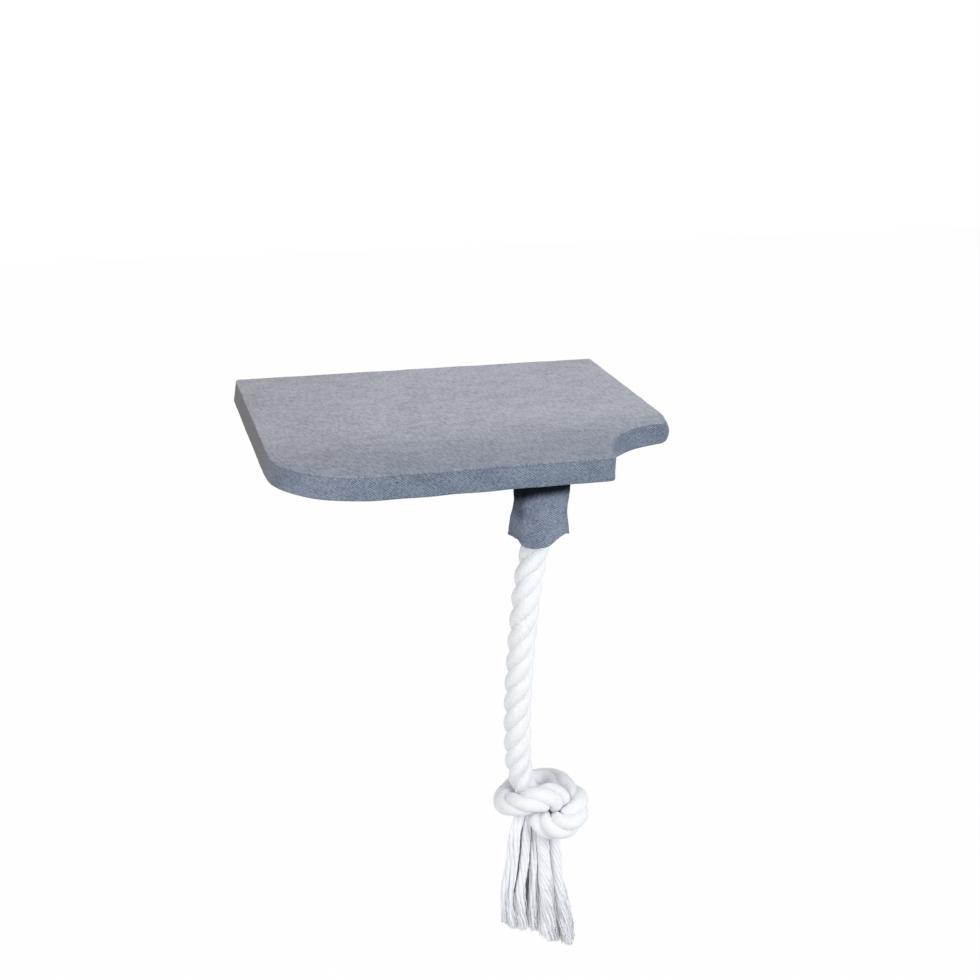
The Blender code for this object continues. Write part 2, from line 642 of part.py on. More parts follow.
def make_screws(zinc):
    """The brackets' six screws and the block's two."""
    mesh = wood_screw_mesh("bracket_screw", BRACKET_SCREW_LENGTH)
    seat = FIXING_PLANE - BRACKET_THICKNESS - TOUCH_GAP
    for k, (x, y) in enumerate(bracket_screw_places()):
        add_part(f"bracket_screw_{k + 1}", mesh, zinc, (x, y, seat))
    mesh = wood_screw_mesh("block_screw", BLOCK_SCREW_LENGTH)
    for k, (x, y) in enumerate(block_screw_places()):
        add_part(f"block_screw_{k + 1}", mesh, zinc, (x, y, COLLAR_TOP))


def make_cuff_block(wood):
    """The round plywood block under the board, which the cuff is fixed round."""
    mesh = cylinder_mesh("cuff_block", BLOCK_DIAMETER, BLOCK_UNDERSIDE, FIXING_PLANE, CUFF_SEGMENTS)
    block = add_part("cuff_block", mesh, wood, (HANG_X, HANG_Y, 0))
    low = BLOCK_UNDERSIDE - CUT_OVERRUN
    high = FIXING_PLANE + CUT_OVERRUN
    combine(block, fixing_holes("block_bolt_hole", [(HANG_X, HANG_Y)],
                                BOLT_DIAMETER + HOLE_CLEARANCE * 2, low, high))
    combine(block, fixing_holes("block_screw_holes", block_screw_places(),
                                SCREW_DIAMETER + HOLE_CLEARANCE * 2, low, high))


def make_cuff(cloth):
    """The cuff: an open sleeve given its thickness inwards.

    Its section is a circle that stands out at the seams, left and right, towards the hem, and the hem
    dips a little at the front.
    """
    turn = np.linspace(0, 2 * math.pi, CUFF_SEGMENTS, endpoint=False)
    shape = bmesh.new()
    rings = []
    inside = BLOCK_DIAMETER / 2 + TOUCH_GAP
    for share in np.linspace(0, 1, CUFF_RINGS):
        seam = np.abs(np.cos(turn)) ** 10
        radius = inside + CUFF_WALL + CUFF_FLARE * share + CUFF_SEAM_STANDS_OUT * seam * share
        drop = CUFF_DROP + CUFF_HEM_DIP * np.clip(-np.sin(turn), 0, 1)
        rings.append([shape.verts.new((r * math.cos(a), r * math.sin(a), FIXING_PLANE - share * d))
                      for a, r, d in zip(turn, radius, drop)])
    for upper, lower in zip(rings, rings[1:]):
        for k in range(CUFF_SEGMENTS):
            after = (k + 1) % CUFF_SEGMENTS
            shape.faces.new((upper[k], lower[k], lower[after], upper[after]))
    mesh = bpy.data.meshes.new("cuff")
    shape.to_mesh(mesh)
    shape.free()
    mesh.shade_smooth()
    cuff = add_part("cuff", mesh, cloth, (HANG_X, HANG_Y, 0))
    wall = cuff.modifiers.new("wall", "SOLIDIFY")
    wall.thickness = CUFF_WALL
    wall.offset = -1
    wall.use_even_offset = True
    return cuff


def make_eye_bolt(steel):
    """The eye bolt: shank and collar turned, eye a ring of the same steel."""
    shank = BOLT_DIAMETER / 2
    collar = BOLT_COLLAR_DIAMETER / 2
    end = CORE_TOP - BOLT_END_BELOW_FOAM
    low = COLLAR_TOP - BOLT_COLLAR_HEIGHT
    chamfer = BOLT_DIAMETER / 8
    profile = [(0, end), (shank - chamfer, end), (shank, end - chamfer), (shank, COLLAR_TOP),
               (collar, COLLAR_TOP), (collar, low + chamfer), (collar - chamfer, low), (0, low)]
    mesh = turned_mesh("eye_bolt", profile, ROUND_STEPS)
    shade_round(mesh)
    bolt = add_part("eye_bolt", mesh, steel, (HANG_X, HANG_Y, 0))
    circle = [(x, 0, EYE_CENTRE + z) for x, z in arc((0, 0), EYE_RADIUS, 0, 360, ROUND_STEPS)[:-1]]
    eye = wire_ring("eye", circle, EYE_WIRE)
    combine(bolt, add_cutter("eye", eye, (HANG_X, HANG_Y, 0)), "UNION")
    return bolt


def make_link(steel, pivot):
    """The oval link that hangs in the bolt's eye, in the plane across it."""
    bend = (LINK_INNER_WIDTH + LINK_WIRE) / 2
    upper = LINK_TOP_WIRE - bend
    lower = LINK_TOP_WIRE - LINK_WIRE_SPAN + bend
    outline = arc((0, upper), bend, 0, 180, ARC_STEPS) + arc((0, lower), bend, 180, 360, ARC_STEPS)
    mesh = wire_ring("rope_link", [(0, y, z) for y, z in outline], LINK_WIRE)
    shade_round(mesh)
    return add_part("rope_link", mesh, steel, parent=pivot)


def make_rope_cap(steel, pivot):
    """The rope's cap, turned, with two crimped grooves and a bail round the link's lower bend."""
    outer = CAP_DIAMETER / 2
    inner = outer - CAP_WALL
    floor = CAP_TOP - CAP_FLOOR
    profile = [(0, CAP_TOP), (CAP_CROWN_DIAMETER / 2, CAP_TOP),
               (outer - CAP_WALL, CAP_TOP - CAP_SHOULDER * 0.6), (outer, CAP_TOP - CAP_SHOULDER)]
    for share in (0.45, 0.75):
        groove = CAP_TOP - CAP_LENGTH * share
        profile += [(outer, groove + CAP_CRIMP_WIDTH / 2), (outer - CAP_CRIMP_DEPTH, groove),
                    (outer, groove - CAP_CRIMP_WIDTH / 2)]
    profile += [(outer, CAP_MOUTH), (inner, CAP_MOUTH), (inner, floor - CAP_WALL),
                (inner - CAP_WALL, floor), (0, floor)]
    mesh = turned_mesh("rope_cap", profile, ROUND_STEPS)
    mesh.transform(CAP_TURN)
    shade_round(mesh)
    cap = add_part("rope_cap", mesh, steel, parent=pivot)
    circle = [(x, 0, BAIL_CENTRE + z) for x, z in arc((0, 0), BAIL_RADIUS, 0, 360, ROUND_STEPS)[:-1]]
    bail = wire_ring("bail", circle, BAIL_WIRE)
    bail.transform(CAP_TURN)
    cutter = add_cutter("bail", bail)
    cutter.parent = pivot
    combine(cap, cutter, "UNION")
    return cap


def smooth_through(points, count):
    """Points on a smooth curve through a route: each span is a cubic whose ends turn with the route.

    At a route's point the curve's direction is the mean of the two chords there, each divided by its
    length, as on a Catmull-Rom curve.
    """
    route = np.array(points, dtype=float)
    chord = np.linalg.norm(np.diff(route, axis=0), axis=1)
    place = np.concatenate(([0], np.cumsum(chord)))
    slope = np.diff(route, axis=0) / chord[:, None]
    tangent = np.empty_like(route)
    tangent[0], tangent[-1] = slope[0], slope[-1]
    before, after = chord[:-1, None], chord[1:, None]
    tangent[1:-1] = (slope[:-1] * after + slope[1:] * before) / (before + after)
    at = np.linspace(0, place[-1], count)
    span = np.clip(np.searchsorted(place, at, side="right") - 1, 0, len(chord) - 1)
    size = chord[span][:, None]
    u = ((at - place[span]) / chord[span])[:, None]
    return ((2 * u ** 3 - 3 * u ** 2 + 1) * route[span] + (u ** 3 - 2 * u ** 2 + u) * size * tangent[span]
            + (3 * u ** 2 - 2 * u ** 3) * route[span + 1] + (u ** 3 - u ** 2) * size * tangent[span + 1])


def cord_part(name, points, radii, material, pivot):
    """A free cord: a tube on a poly curve, whose radius may change from point to point."""
    curve = bpy.data.curves.new(name, "CURVE")
    curve.dimensions = "3D"
    curve.bevel_depth = ROPE_DIAMETER / 2
    curve.bevel_resolution = ROPE_SIDES_RESOLUTION
    curve.use_fill_caps = True
    spline = curve.splines.new("POLY")
    spline.points.add(len(points) - 1)
    for point, place, radius in zip(spline.points, points, radii):
        point.co = (*place, 1)
        point.radius = radius
    return add_part(name, curve, material, parent=pivot)


def rope_end_direction():
    """Which way the rope runs where it goes into the knot."""
    return (Vector(KNOT_ROUTE[1]) - Vector(ROPE_ROUTE[-2])).normalized()


def tail_direction():
    """Which way the rope runs where it leaves the knot."""
    return (Vector(KNOT_ROUTE[-1]) - Vector(KNOT_ROUTE[-2])).normalized()


def make_rope(cotton, pivot):
    """The rope's straight part: squeezed inside the cap, and full below it."""
    inside = (CAP_DIAMETER / 2 - CAP_WALL - ROPE_IN_CAP_CLEARANCE) / (ROPE_DIAMETER / 2)
    down = CAP_TURN @ Vector((0, 0, 1))
    start = down * (CAP_TOP - CAP_FLOOR - CAP_WALL)
    mouth = down * (CAP_MOUTH - TOUCH_GAP)
    full = down * (CAP_MOUTH - ROPE_SWELLS_OVER)
    route = [full] + ROPE_ROUTE
    length = sum((Vector(b) - Vector(a)).length for a, b in zip(route, route[1:]))
    free = [Vector(place) for place in smooth_through(route, round(length / ROPE_STEP) + 1)[:-1]]
    end = Vector(ROPE_ROUTE[-1])
    free += [end - rope_end_direction() * END_STUB, end - rope_end_direction() * TOUCH_GAP]
    points = [start, mouth] + free
    cord_part("rope", points, [inside, inside] + [1] * len(free), cotton, pivot)
    length = sum((b - a).length for a, b in zip(points, points[1:]))
    print(f"rope: {length * 1000:.0f} mm from the cap's floor to the knot")


def make_knot(cotton, pivot):
    """The overhand knot, one unbroken tube, and its least gap to itself."""
    length = sum((Vector(b) - Vector(a)).length for a, b in zip(KNOT_ROUTE, KNOT_ROUTE[1:]))
    count = round(length / KNOT_STEP) + 1
    points = smooth_through(KNOT_ROUTE, count)
    stations = np.linspace(0, 1, count) * (len(KNOT_ROUTE) - 1)
    listed = KNOT_DRAWN_IN_shares + [KNOT_TIGHT_share] * (len(KNOT_ROUTE) - len(KNOT_DRAWN_IN_shares))
    radii = np.interp(stations, np.arange(len(KNOT_ROUTE)), listed)
    tube = [Vector(place) for place in points]
    tube[0:1] = [tube[0], tube[0] + rope_end_direction() * END_STUB]
    tube[-1:] = [tube[-1] - tail_direction() * END_STUB, tube[-1]]
    cord_part("rope_knot", tube, [radii[0], *radii, radii[-1]], cotton, pivot)

    fine = smooth_through(KNOT_ROUTE, count * 6)
    fine_radii = np.interp(np.linspace(0, 1, len(fine)), np.linspace(0, 1, count), radii)
    fine_radii *= ROPE_DIAMETER / 2
    along = np.concatenate(([0], np.cumsum(np.linalg.norm(np.diff(fine, axis=0), axis=1))))
    apart = np.linalg.norm(fine[:, None] - fine[None], axis=2) - fine_radii[:, None] - fine_radii[None]
    far = np.abs(along[:, None] - along[None]) > ROPE_DIAMETER * 1.6
    print(f"rope_knot: {along[-1] * 1000:.0f} mm of rope, "
          f"least gap to itself {apart[far].min() * 1000:.2f} mm")


def make_tassel(cotton, pivot):
    """The unlaid end: a skirt of yarn bundles, lofted from the rope's round end to the ragged foot.

    Each ring's width grows in two steps, fast to the shoulder and then evenly to the foot. A ring is an
    ellipse with a round lobe for each bundle and a groove between two, and the last one follows the
    slanted cut.
    """
    tail = tail_direction()
    top = Vector(KNOT_ROUTE[-1]) + tail * TOUCH_GAP
    across = tail.cross(Vector((1, 0, 0))).normalized()
    sideways = across.cross(tail)
    steps = TASSEL_YARNS * TASSEL_BUNDLE_STEPS
    turn = np.linspace(0, 2 * math.pi, steps, endpoint=False)
    groove = 1 - np.abs(np.cos(turn * TASSEL_YARNS / 2))
    shape = bmesh.new()
    rings = []
    for share in np.linspace(0, 1, TASSEL_RINGS) ** 1.3:
        drop = TASSEL_LENGTH * share
        shoulder = min(drop / TASSEL_SHOULDER_DROP, 1)
        eased = shoulder * shoulder * (3 - 2 * shoulder)
        width = (TASSEL_TOP_WIDTH + (TASSEL_SHOULDER_WIDTH - TASSEL_TOP_WIDTH) * eased
                 + (TASSEL_FOOT_WIDTH - TASSEL_SHOULDER_WIDTH) * share)
        depth = TASSEL_TOP_WIDTH * (1 - eased) + width * TASSEL_DEPTH_share * eased
        middle = top + tail.lerp(Vector((0, 0, -1)), eased) * drop
        middle += Vector((TASSEL_FOOT_SHIFT * eased, 0, 0))
        ring = []
        for angle, cut in zip(turn, groove):
            lobe = 1 - TASSEL_GROOVE_share * cut * eased
            x = width / 2 * lobe * math.cos(angle)
            y = depth / 2 * lobe * math.sin(angle)
            reach = (sideways * x - across * y).lerp(Vector((x, y, 0)), eased)
            ragged = -TASSEL_FOOT_SLANT * x - TASSEL_FOOT_RAGGED * math.cos(3 * angle)
            ring.append(shape.verts.new(middle + reach + Vector((0, 0, ragged * share ** 2))))
        rings.append(ring)
    for upper, lower in zip(rings, rings[1:]):
        for k in range(steps):
            after = (k + 1) % steps
            shape.faces.new((upper[k], lower[k], lower[after], upper[after]))
    shape.faces.new(rings[0])
    shape.faces.new(rings[-1])
    bmesh.ops.recalc_face_normals(shape, faces=shape.faces)
    mesh = bpy.data.meshes.new("rope_tassel")
    shape.to_mesh(mesh)
    shape.free()
    shade_round(mesh, 50)
    return add_part("rope_tassel", mesh, cotton, parent=pivot)


def pivot_empty(name, place):
    """An empty on a joint's axis, which carries what turns there."""
    empty = bpy.data.objects.new(name, None)
    PARTS.objects.link(empty)
    empty.location = place
    return empty


def build():
    """Make every sub-part, from the wall outwards and down."""
    cloth_top = finish("cover_cloth_sitting_face", (0.27, 0.30, 0.36), 0.95)
    cloth_band = finish("cover_cloth_band", (0.19, 0.22, 0.28), 0.95)
    lining_cloth = finish("lining_cloth", (0.03, 0.03, 0.035), 0.9)
    foam = finish("foam", (0.75, 0.72, 0.60), 0.95)
    plywood = finish("plywood", (0.55, 0.40, 0.24), 0.7)
    bracket_paint = finish("bracket_paint", (0.03, 0.03, 0.03), 0.45)
    zinc = finish("zinc_plated_steel", (0.62, 0.62, 0.60), 0.35, 1.0)
    cotton = finish("cotton_rope", (0.86, 0.88, 0.91), 0.9)

    make_core_board(plywood)
    make_foam_pad(foam)
    make_cover(cloth_top, cloth_band)
    make_lining(lining_cloth)
    make_brackets(bracket_paint)
    make_screws(zinc)
    make_cuff_block(plywood)
    make_tee_nut(zinc)
    make_eye_bolt(zinc)
    make_cuff(cloth_band)

    link_pivot = pivot_empty("link_pivot", LINK_PIVOT)
    make_link(zinc, link_pivot)
    rope_pivot = pivot_empty("rope_pivot", ROPE_PIVOT)
    make_rope_cap(zinc, rope_pivot)
    make_rope(cotton, rope_pivot)
    make_knot(cotton, rope_pivot)
    make_tassel(cotton, rope_pivot)
    print(f"link pivot {tuple(round(v, 5) for v in LINK_PIVOT)}, rope pivot "
          f"{tuple(round(v, 5) for v in ROPE_PIVOT)}, board top {BOARD_TOP:.5f}")


build()
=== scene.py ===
# %% [markdown]
# # A cat wall platform
# A board covered in grey-blue twill stands out from a wall on two brackets, and a knotted cotton rope
# with a tassel hangs below it from a cloth cuff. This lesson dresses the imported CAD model: the hard
# parts stay and get finishes, and every soft part is made again as cloth, foam or laid yarns.

import math

import bpy
import numpy as np
from mathutils import Matrix, Vector


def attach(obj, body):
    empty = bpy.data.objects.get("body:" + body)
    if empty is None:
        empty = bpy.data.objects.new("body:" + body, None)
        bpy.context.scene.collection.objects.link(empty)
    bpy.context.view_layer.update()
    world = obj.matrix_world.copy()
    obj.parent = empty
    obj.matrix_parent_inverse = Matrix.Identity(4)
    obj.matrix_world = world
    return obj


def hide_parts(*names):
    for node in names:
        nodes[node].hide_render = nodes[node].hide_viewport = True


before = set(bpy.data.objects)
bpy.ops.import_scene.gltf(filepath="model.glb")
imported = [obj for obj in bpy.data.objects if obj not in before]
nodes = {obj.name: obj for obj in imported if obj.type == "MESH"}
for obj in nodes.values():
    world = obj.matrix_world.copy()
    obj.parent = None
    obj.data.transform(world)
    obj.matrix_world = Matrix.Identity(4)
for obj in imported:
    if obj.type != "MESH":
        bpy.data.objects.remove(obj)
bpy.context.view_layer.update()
MM = 0.001

# %% [markdown]
# ## Camera
# The object was seen from the left and from above, by a fairly long lens. The angles and the place
# were worked out from the board's four visible corners, so the camera comes before anything else.

# %% Camera
CAMERA_PLACE = (-0.35447, -1.49834, 0.44368)
CAMERA_AZIMUTH, CAMERA_HEIGHT, CAMERA_ROLL = -16.32658, 20.42753, 1.0433
CAMERA_LENS, CAMERA_SENSOR = 53.142, 36.0


def camera_turn(azimuth, height, roll):
    """Rotation of a camera that looks at the object from an azimuth and a height, then rolls."""
    a, e = math.radians(azimuth), math.radians(height)
    right = Vector((math.cos(a), math.sin(a), 0))
    back = Vector((math.sin(a) * math.cos(e), -math.cos(a) * math.cos(e), math.sin(e)))
    turn = Matrix((right, back.cross(right), back)).transposed()
    return (turn @ Matrix.Rotation(math.radians(roll), 3, "Z")).to_4x4()


lens = bpy.data.cameras.new("camera")
lens.lens, lens.sensor_width, lens.sensor_height = CAMERA_LENS, CAMERA_SENSOR, CAMERA_SENSOR
camera = bpy.data.objects.new("camera", lens)
camera.matrix_world = (Matrix.Translation(CAMERA_PLACE)
                       @ camera_turn(CAMERA_AZIMUTH, CAMERA_HEIGHT, CAMERA_ROLL))
bpy.context.scene.collection.objects.link(camera)
bpy.context.scene.camera = camera
print("camera at", CAMERA_PLACE)

# %% [markdown]
# ## Shader maths
# A pattern is easier to read as a formula than as a web of nodes. A Wire wraps one socket, so that
# `ridge * 0.5 + 0.5` adds its own Math nodes. Any other node comes from Finish.node, which sets the
# node's own settings first and its sockets after.

# %% A socket in a formula


class Wire:
    """One socket of a node. The operators add Math nodes, on either side of a number."""

    def __init__(self, finish, socket):
        self.finish, self.socket = finish, socket

    def maths(self, operation, *values):
        """A Math node with its operation and up to three values or Wires."""
        settings = {"operation": operation}
        return self.finish.node("ShaderNodeMath", settings, dict(enumerate(values)))

    def __add__(self, other):
        return self.maths("ADD", self, other)

    def __sub__(self, other):
        return self.maths("SUBTRACT", self, other)

    def __rsub__(self, other):
        return self.maths("SUBTRACT", other, self)

    def __mul__(self, other):
        return self.maths("MULTIPLY", self, other)

    __radd__ = __add__
    __rmul__ = __mul__

    def wave(self):
        """0 to 1 and back, once for each whole number."""
        return self.maths("SINE", self * (2 * math.pi)) * 0.5 + 0.5

    def rise(self, low, high):
        """0 below low, 1 above high, and an even slope between, eased at both ends."""
        return self.finish.node("ShaderNodeMapRange", {"interpolation_type": "SMOOTHSTEP"},
                                {"Value": self, "From Min": low, "From Max": high})


# %% [markdown]
# A Finish is a material on its way. Its methods add the few kinds of node that this object needs, and
# `done` sets the shader. What changes over a surface goes only into its colour, its roughness and its
# bump, because an export can bake those.

# %% A material on its way


class Finish:
    """A material on its way: its nodes, and the shader that they end in."""

    def __init__(self, name):
        self.material = bpy.data.materials.new(name)
        self.material.use_nodes = True
        self.tree = self.material.node_tree
        self.shader = self.tree.nodes["Principled BSDF"]

    def node(self, kind, settings=None, inputs=None, output=0):
        """Add a node: its type, its settings, the values or Wires of its sockets, and which output."""
        node = self.tree.nodes.new(kind)
        for key, value in (settings or {}).items():
            setattr(node, key, value)
        self.plug(node, inputs or {})
        return Wire(self, node.outputs[output])

    def plug(self, node, inputs):
        """Give a node's sockets their values, or link them to Wires."""
        for key, value in inputs.items():
            if isinstance(value, Wire):
                self.tree.links.new(value.socket, node.inputs[key])
            else:
                node.inputs[key].default_value = value

    def parts(self, vector):
        """The three numbers of a vector."""
        node = self.node("ShaderNodeSeparateXYZ", None, {0: vector}).socket.node
        return [Wire(self, socket) for socket in node.outputs]

    def vector(self, x, y, z=0.0):
        """A vector of three numbers."""
        return self.node("ShaderNodeCombineXYZ", None, {0: x, 1: y, 2: z})

    def noise(self, vector, scale, detail=2.0, roughness=0.5):
        """Soft noise from 0 to 1; a scale of 500 has lumps of about 2 mm."""
        return self.node("ShaderNodeTexNoise", {"noise_dimensions": "3D"},
                         {"Vector": vector, "Scale": scale, "Detail": detail, "Roughness": roughness})

    def mix(self, share, low, high, way="MIX"):
        """Colour between low and high."""
        return self.node("ShaderNodeMixRGB", {"blend_type": way, "use_clamp": True},
                         {"Fac": share, "Color1": low, "Color2": high})

    def uv(self):
        """The place on a piece's flat sheet, in metres."""
        return self.node("ShaderNodeUVMap", {"uv_map": "laid_out"})

    def place(self):
        """Object coordinates, the node's fourth output: the place in the frame, in metres."""
        return self.node("ShaderNodeTexCoord", None, None, 3)

    def done(self, height=None, depth=0.0002, strength=1.0, **sockets):
        """Set the shader's sockets; a height in 0 to 1 becomes a bump of that depth in metres."""
        named = {key.replace("_", " ").title().replace("Ior", "IOR"): value
                 for key, value in sockets.items()}
        if height is not None:
            named["Normal"] = self.node("ShaderNodeBump", None,
                                        {"Height": height, "Distance": depth, "Strength": strength})
        self.plug(self.shader, named)
        return self.material


# %% [markdown]
# A screen's numbers for a colour aren't in step with its light, and a shader works with the light, so
# every colour goes through one conversion.

# %% Colour


def paint(red, green, blue):
    """A colour given as a screen has it, 0 to 255, in the linear numbers that a shader works in."""
    part = np.array([red, green, blue]) / 255
    linear = np.where(part <= 0.04045, part / 12.92, ((part + 0.055) / 1.055) ** 2.4)
    return (*[float(v) for v in linear], 1.0)


print(f"a screen's middle grey has {paint(128, 128, 128)[0]:.2f} of the light of white")

# %% [markdown]
# ## Floor, light and background
# The platform hangs on a wall, so the floor lies well below it. A wall would hide the back from the
# other views and is left out. A room's soft light comes mostly from above, so the sitting face is
# the lightest cloth. A white background could come from more light, but that would bleach the cotton,
# so the floor and the world are white only to the camera and to what shines.

# %% Floor and world
FLOOR_LEVEL, FLOOR_SIZE = -1.25, 14.0
ROOM_LIGHT = 0.52
FLOOR_WHITENED = 0.98


def seen_white(finish):
    """1 for what the camera, a shiny face or a clear one sees, and 0 for light on its way."""
    rays = finish.node("ShaderNodeLightPath").socket.node.outputs
    ray = [Wire(finish, rays[name]) for name in ("Is Camera Ray", "Is Glossy Ray", "Is Transmission Ray")]
    return ray[0].maths("MAXIMUM", ray[0], ray[0].maths("MAXIMUM", ray[1], ray[2]))


floor_finish = Finish("floor_pale")
floor_finish.done(base_color=paint(232, 232, 232), roughness=0.9)
glow = floor_finish.node("ShaderNodeEmission", None, {"Color": (1, 1, 1, 1), "Strength": 1.0})
shown = floor_finish.node("ShaderNodeMixShader", None,
                          {0: seen_white(floor_finish) * FLOOR_WHITENED,
                           1: Wire(floor_finish, floor_finish.shader.outputs[0]), 2: glow})
floor_finish.plug(floor_finish.tree.nodes["Material Output"], {"Surface": shown})
reach = FLOOR_SIZE / 2
floor_mesh = bpy.data.meshes.new("floor")
floor_mesh.from_pydata([(-reach, -reach, FLOOR_LEVEL), (reach, -reach, FLOOR_LEVEL),
                        (reach, reach, FLOOR_LEVEL), (-reach, reach, FLOOR_LEVEL)], [], [(0, 1, 2, 3)])
floor = bpy.data.objects.new("floor", floor_mesh)
bpy.context.scene.collection.objects.link(floor)
floor_mesh.materials.append(floor_finish.material)

world = bpy.data.worlds.new("room")
bpy.context.scene.world = world
world.use_nodes = True
sky = Finish.__new__(Finish)  # a world has nodes but no material of its own
sky.tree = world.node_tree
air = sky.tree.nodes["Background"]
sky.plug(air, {"Color": (1, 1, 1, 1), "Strength": seen_white(sky) * (1 - ROOM_LIGHT) + ROOM_LIGHT})
bpy.context.scene.view_settings.view_transform = "Standard"
print("floor at", FLOOR_LEVEL, "m, room light", ROOM_LIGHT)

# %% [markdown]
# Three large lamps make the soft shading: one above, one in front on the right, which draws the rope's
# twist, and a weak warm one on the left that lifts the band's shaded side.

# %% Lamps
LAMPS = [  # name, place, looks at, size in metres, watts, colour
    ("overhead", (0.10, 0.35, 1.45), (0.0, -0.12, 0.0), 1.3, 3.8, (1.0, 1.0, 1.0)),
    ("front_right", (1.0, -2.1, 1.20), (0.0, -0.28, -0.2), 1.1, 37.0, (1.0, 1.0, 1.0)),
    ("left", (-1.7, -0.8, 0.35), (0.0, -0.2, -0.1), 1.2, 13.0, (1.0, 0.98, 0.96)),
]
for name, place, target, size, watts, colour in LAMPS:
    lamp = bpy.data.lights.new(name, "AREA")
    lamp.shape, lamp.size, lamp.energy, lamp.color = "DISK", size, watts, colour
    light = bpy.data.objects.new(name, lamp)
    away = Vector(place) - Vector(target)
    light.matrix_world = Matrix.Translation(place) @ away.to_track_quat("Z", "Y").to_matrix().to_4x4()
    bpy.context.scene.collection.objects.link(light)
print(len(LAMPS), "lamps")

# %% [markdown]
# ## Meshes from grids
# A soft part is a surface that can be spread out flat: rows one way, columns the other. numpy works
# out all its points at once, and the faces only say which four neighbours belong together. The same
# numbers on the flat sheet give the UV map, in metres, so a weave has its real size.

# %% Faces of a grid


def quads(rows, columns, closed, count=1):
    """Corner numbers of a grid's quads, and of the same quads on its flat sheet.

    A closed grid's last column joins its first, and its flat sheet has one column more. Several grids
    of one size follow each other.
    """
    sheet = columns + 1 if closed else columns
    k, row, column = np.mgrid[0:count, 0:rows - 1, 0:sheet - 1].reshape(3, -1)
    after = (column + 1) % columns
    on_mesh = (k * rows + row) * columns
    on_sheet = (k * rows + row) * sheet
    faces = [on_mesh + column, on_mesh + after, on_mesh + columns + after, on_mesh + columns + column]
    flat = [on_sheet + column, on_sheet + column + 1, on_sheet + sheet + column + 1,
            on_sheet + sheet + column]
    return np.stack(faces, 1), np.stack(flat, 1)


def ends(rows, columns, count=1):
    """Triangles that close both ends of tubes, whose two middle points follow all the rings."""
    k, column = np.mgrid[0:count, 0:columns].reshape(2, -1)
    after = (column + 1) % columns
    first, last = k * rows * columns, (k * rows + rows - 1) * columns
    pole = count * rows * columns + 2 * k
    return np.concatenate([np.stack([pole, first + after, first + column], 1),
                           np.stack([pole + 1, last + column, last + after], 1)])


print(len(quads(3, 4, True)[0]), "quads on a ring of 3 rows and 4 columns")

# %% A piece from its points and faces


def add_piece(name, points, faces, finish, uv=None, flat=None):
    """Object of a mesh at the origin. uv and flat lay the faces out, in the same order as faces."""
    points = np.asarray(points, dtype=np.float32).reshape(-1, 3)
    corners = np.concatenate([part.ravel() for part in faces])
    sizes = np.concatenate([np.full(len(part), part.shape[1]) for part in faces])
    mesh = bpy.data.meshes.new(name)
    mesh.vertices.add(len(points))
    mesh.vertices.foreach_set("co", points.ravel())
    mesh.loops.add(len(corners))
    mesh.loops.foreach_set("vertex_index", corners.astype(np.int32))
    mesh.polygons.add(len(sizes))
    mesh.polygons.foreach_set("loop_start", (np.cumsum(sizes) - sizes).astype(np.int32))
    mesh.update(calc_edges=True)
    if uv is not None:
        spread = np.asarray(uv, dtype=np.float32).reshape(-1, 2)
        on_sheet = np.concatenate([part.ravel() for part in flat])
        mesh.uv_layers.new(name="laid_out").data.foreach_set("uv", spread[on_sheet].ravel())
    mesh.shade_smooth()
    mesh.materials.append(finish)
    piece = bpy.data.objects.new(name, mesh)
    bpy.context.scene.collection.objects.link(piece)
    print(f"{name}: {len(points)} points, {len(sizes)} faces")
    return piece


# %% [markdown]
# ## Tubes
# Yarns, loose fibres and staples are round tubes. A curve object with a bevel could draw them, but it
# has no flat sheet in metres. So all the tubes of a piece are worked out together as one array: a
# ring of points round each point of each line.

# %% Tubes along many lines


def unit(vectors):
    """Each vector divided by its length."""
    return vectors / np.maximum(np.linalg.norm(vectors, axis=-1, keepdims=True), 1e-12)


def tubes(lines, radii, sides, across=(0.31, 0.87, 0.38)):
    """Points and flat sheet of round tubes along several lines at once, lines first, then rings.

    A ring's point = line's point + radius * (cos(angle) * side + sin(angle) * front), where side and
    front stand across the line.
    """
    along = unit(np.gradient(lines, axis=1))
    side = unit(np.cross(along, np.array(across)))
    front = np.cross(along, side)
    angle = np.linspace(0, 2 * math.pi, sides, endpoint=False)[:, None]
    ring = np.cos(angle) * side[:, :, None] + np.sin(angle) * front[:, :, None]
    points = lines[:, :, None] + radii[:, :, None, None] * ring
    poles = np.stack([lines[:, 0] - along[:, 0] * radii[:, :1] * 0.5,
                      lines[:, -1] + along[:, -1] * radii[:, -1:] * 0.5], 1)
    step = np.linalg.norm(np.diff(lines, axis=1, prepend=lines[:, :1]), axis=2)
    v = np.cumsum(step, axis=1)[:, :, None] + np.arange(len(lines))[:, None, None]
    u = np.linspace(0, 1, sides + 1)[None, None, :]
    sheet = np.stack(np.broadcast_arrays(u, v), -1)
    middle = np.stack([np.full(len(lines), 0.5), v[:, 0, 0]], 1)
    ends_sheet = np.zeros((len(lines), 2, 2)) + middle[:, None]
    return (np.concatenate([points.reshape(-1, 3), poles.reshape(-1, 3)]),
            np.concatenate([sheet.reshape(-1, 2), ends_sheet.reshape(-1, 2)]))


def closed_tubes(name, points, sheet, count, rows, sides, finish):
    """One piece of closed tubes from their points and flat sheet, whose end points come last."""
    faces, flat = quads(rows, sides, True, count)
    k, column = np.mgrid[0:count, 0:sides].reshape(2, -1)
    first = k * rows * (sides + 1) + column
    last = first + (rows - 1) * (sides + 1)
    pole = count * rows * (sides + 1) + 2 * k
    close_flat = np.concatenate([np.stack([pole, first + 1, first], 1),
                                 np.stack([pole + 1, last, last + 1], 1)])
    return add_piece(name, points, [faces, ends(rows, sides, count)], finish, sheet, [flat, close_flat])


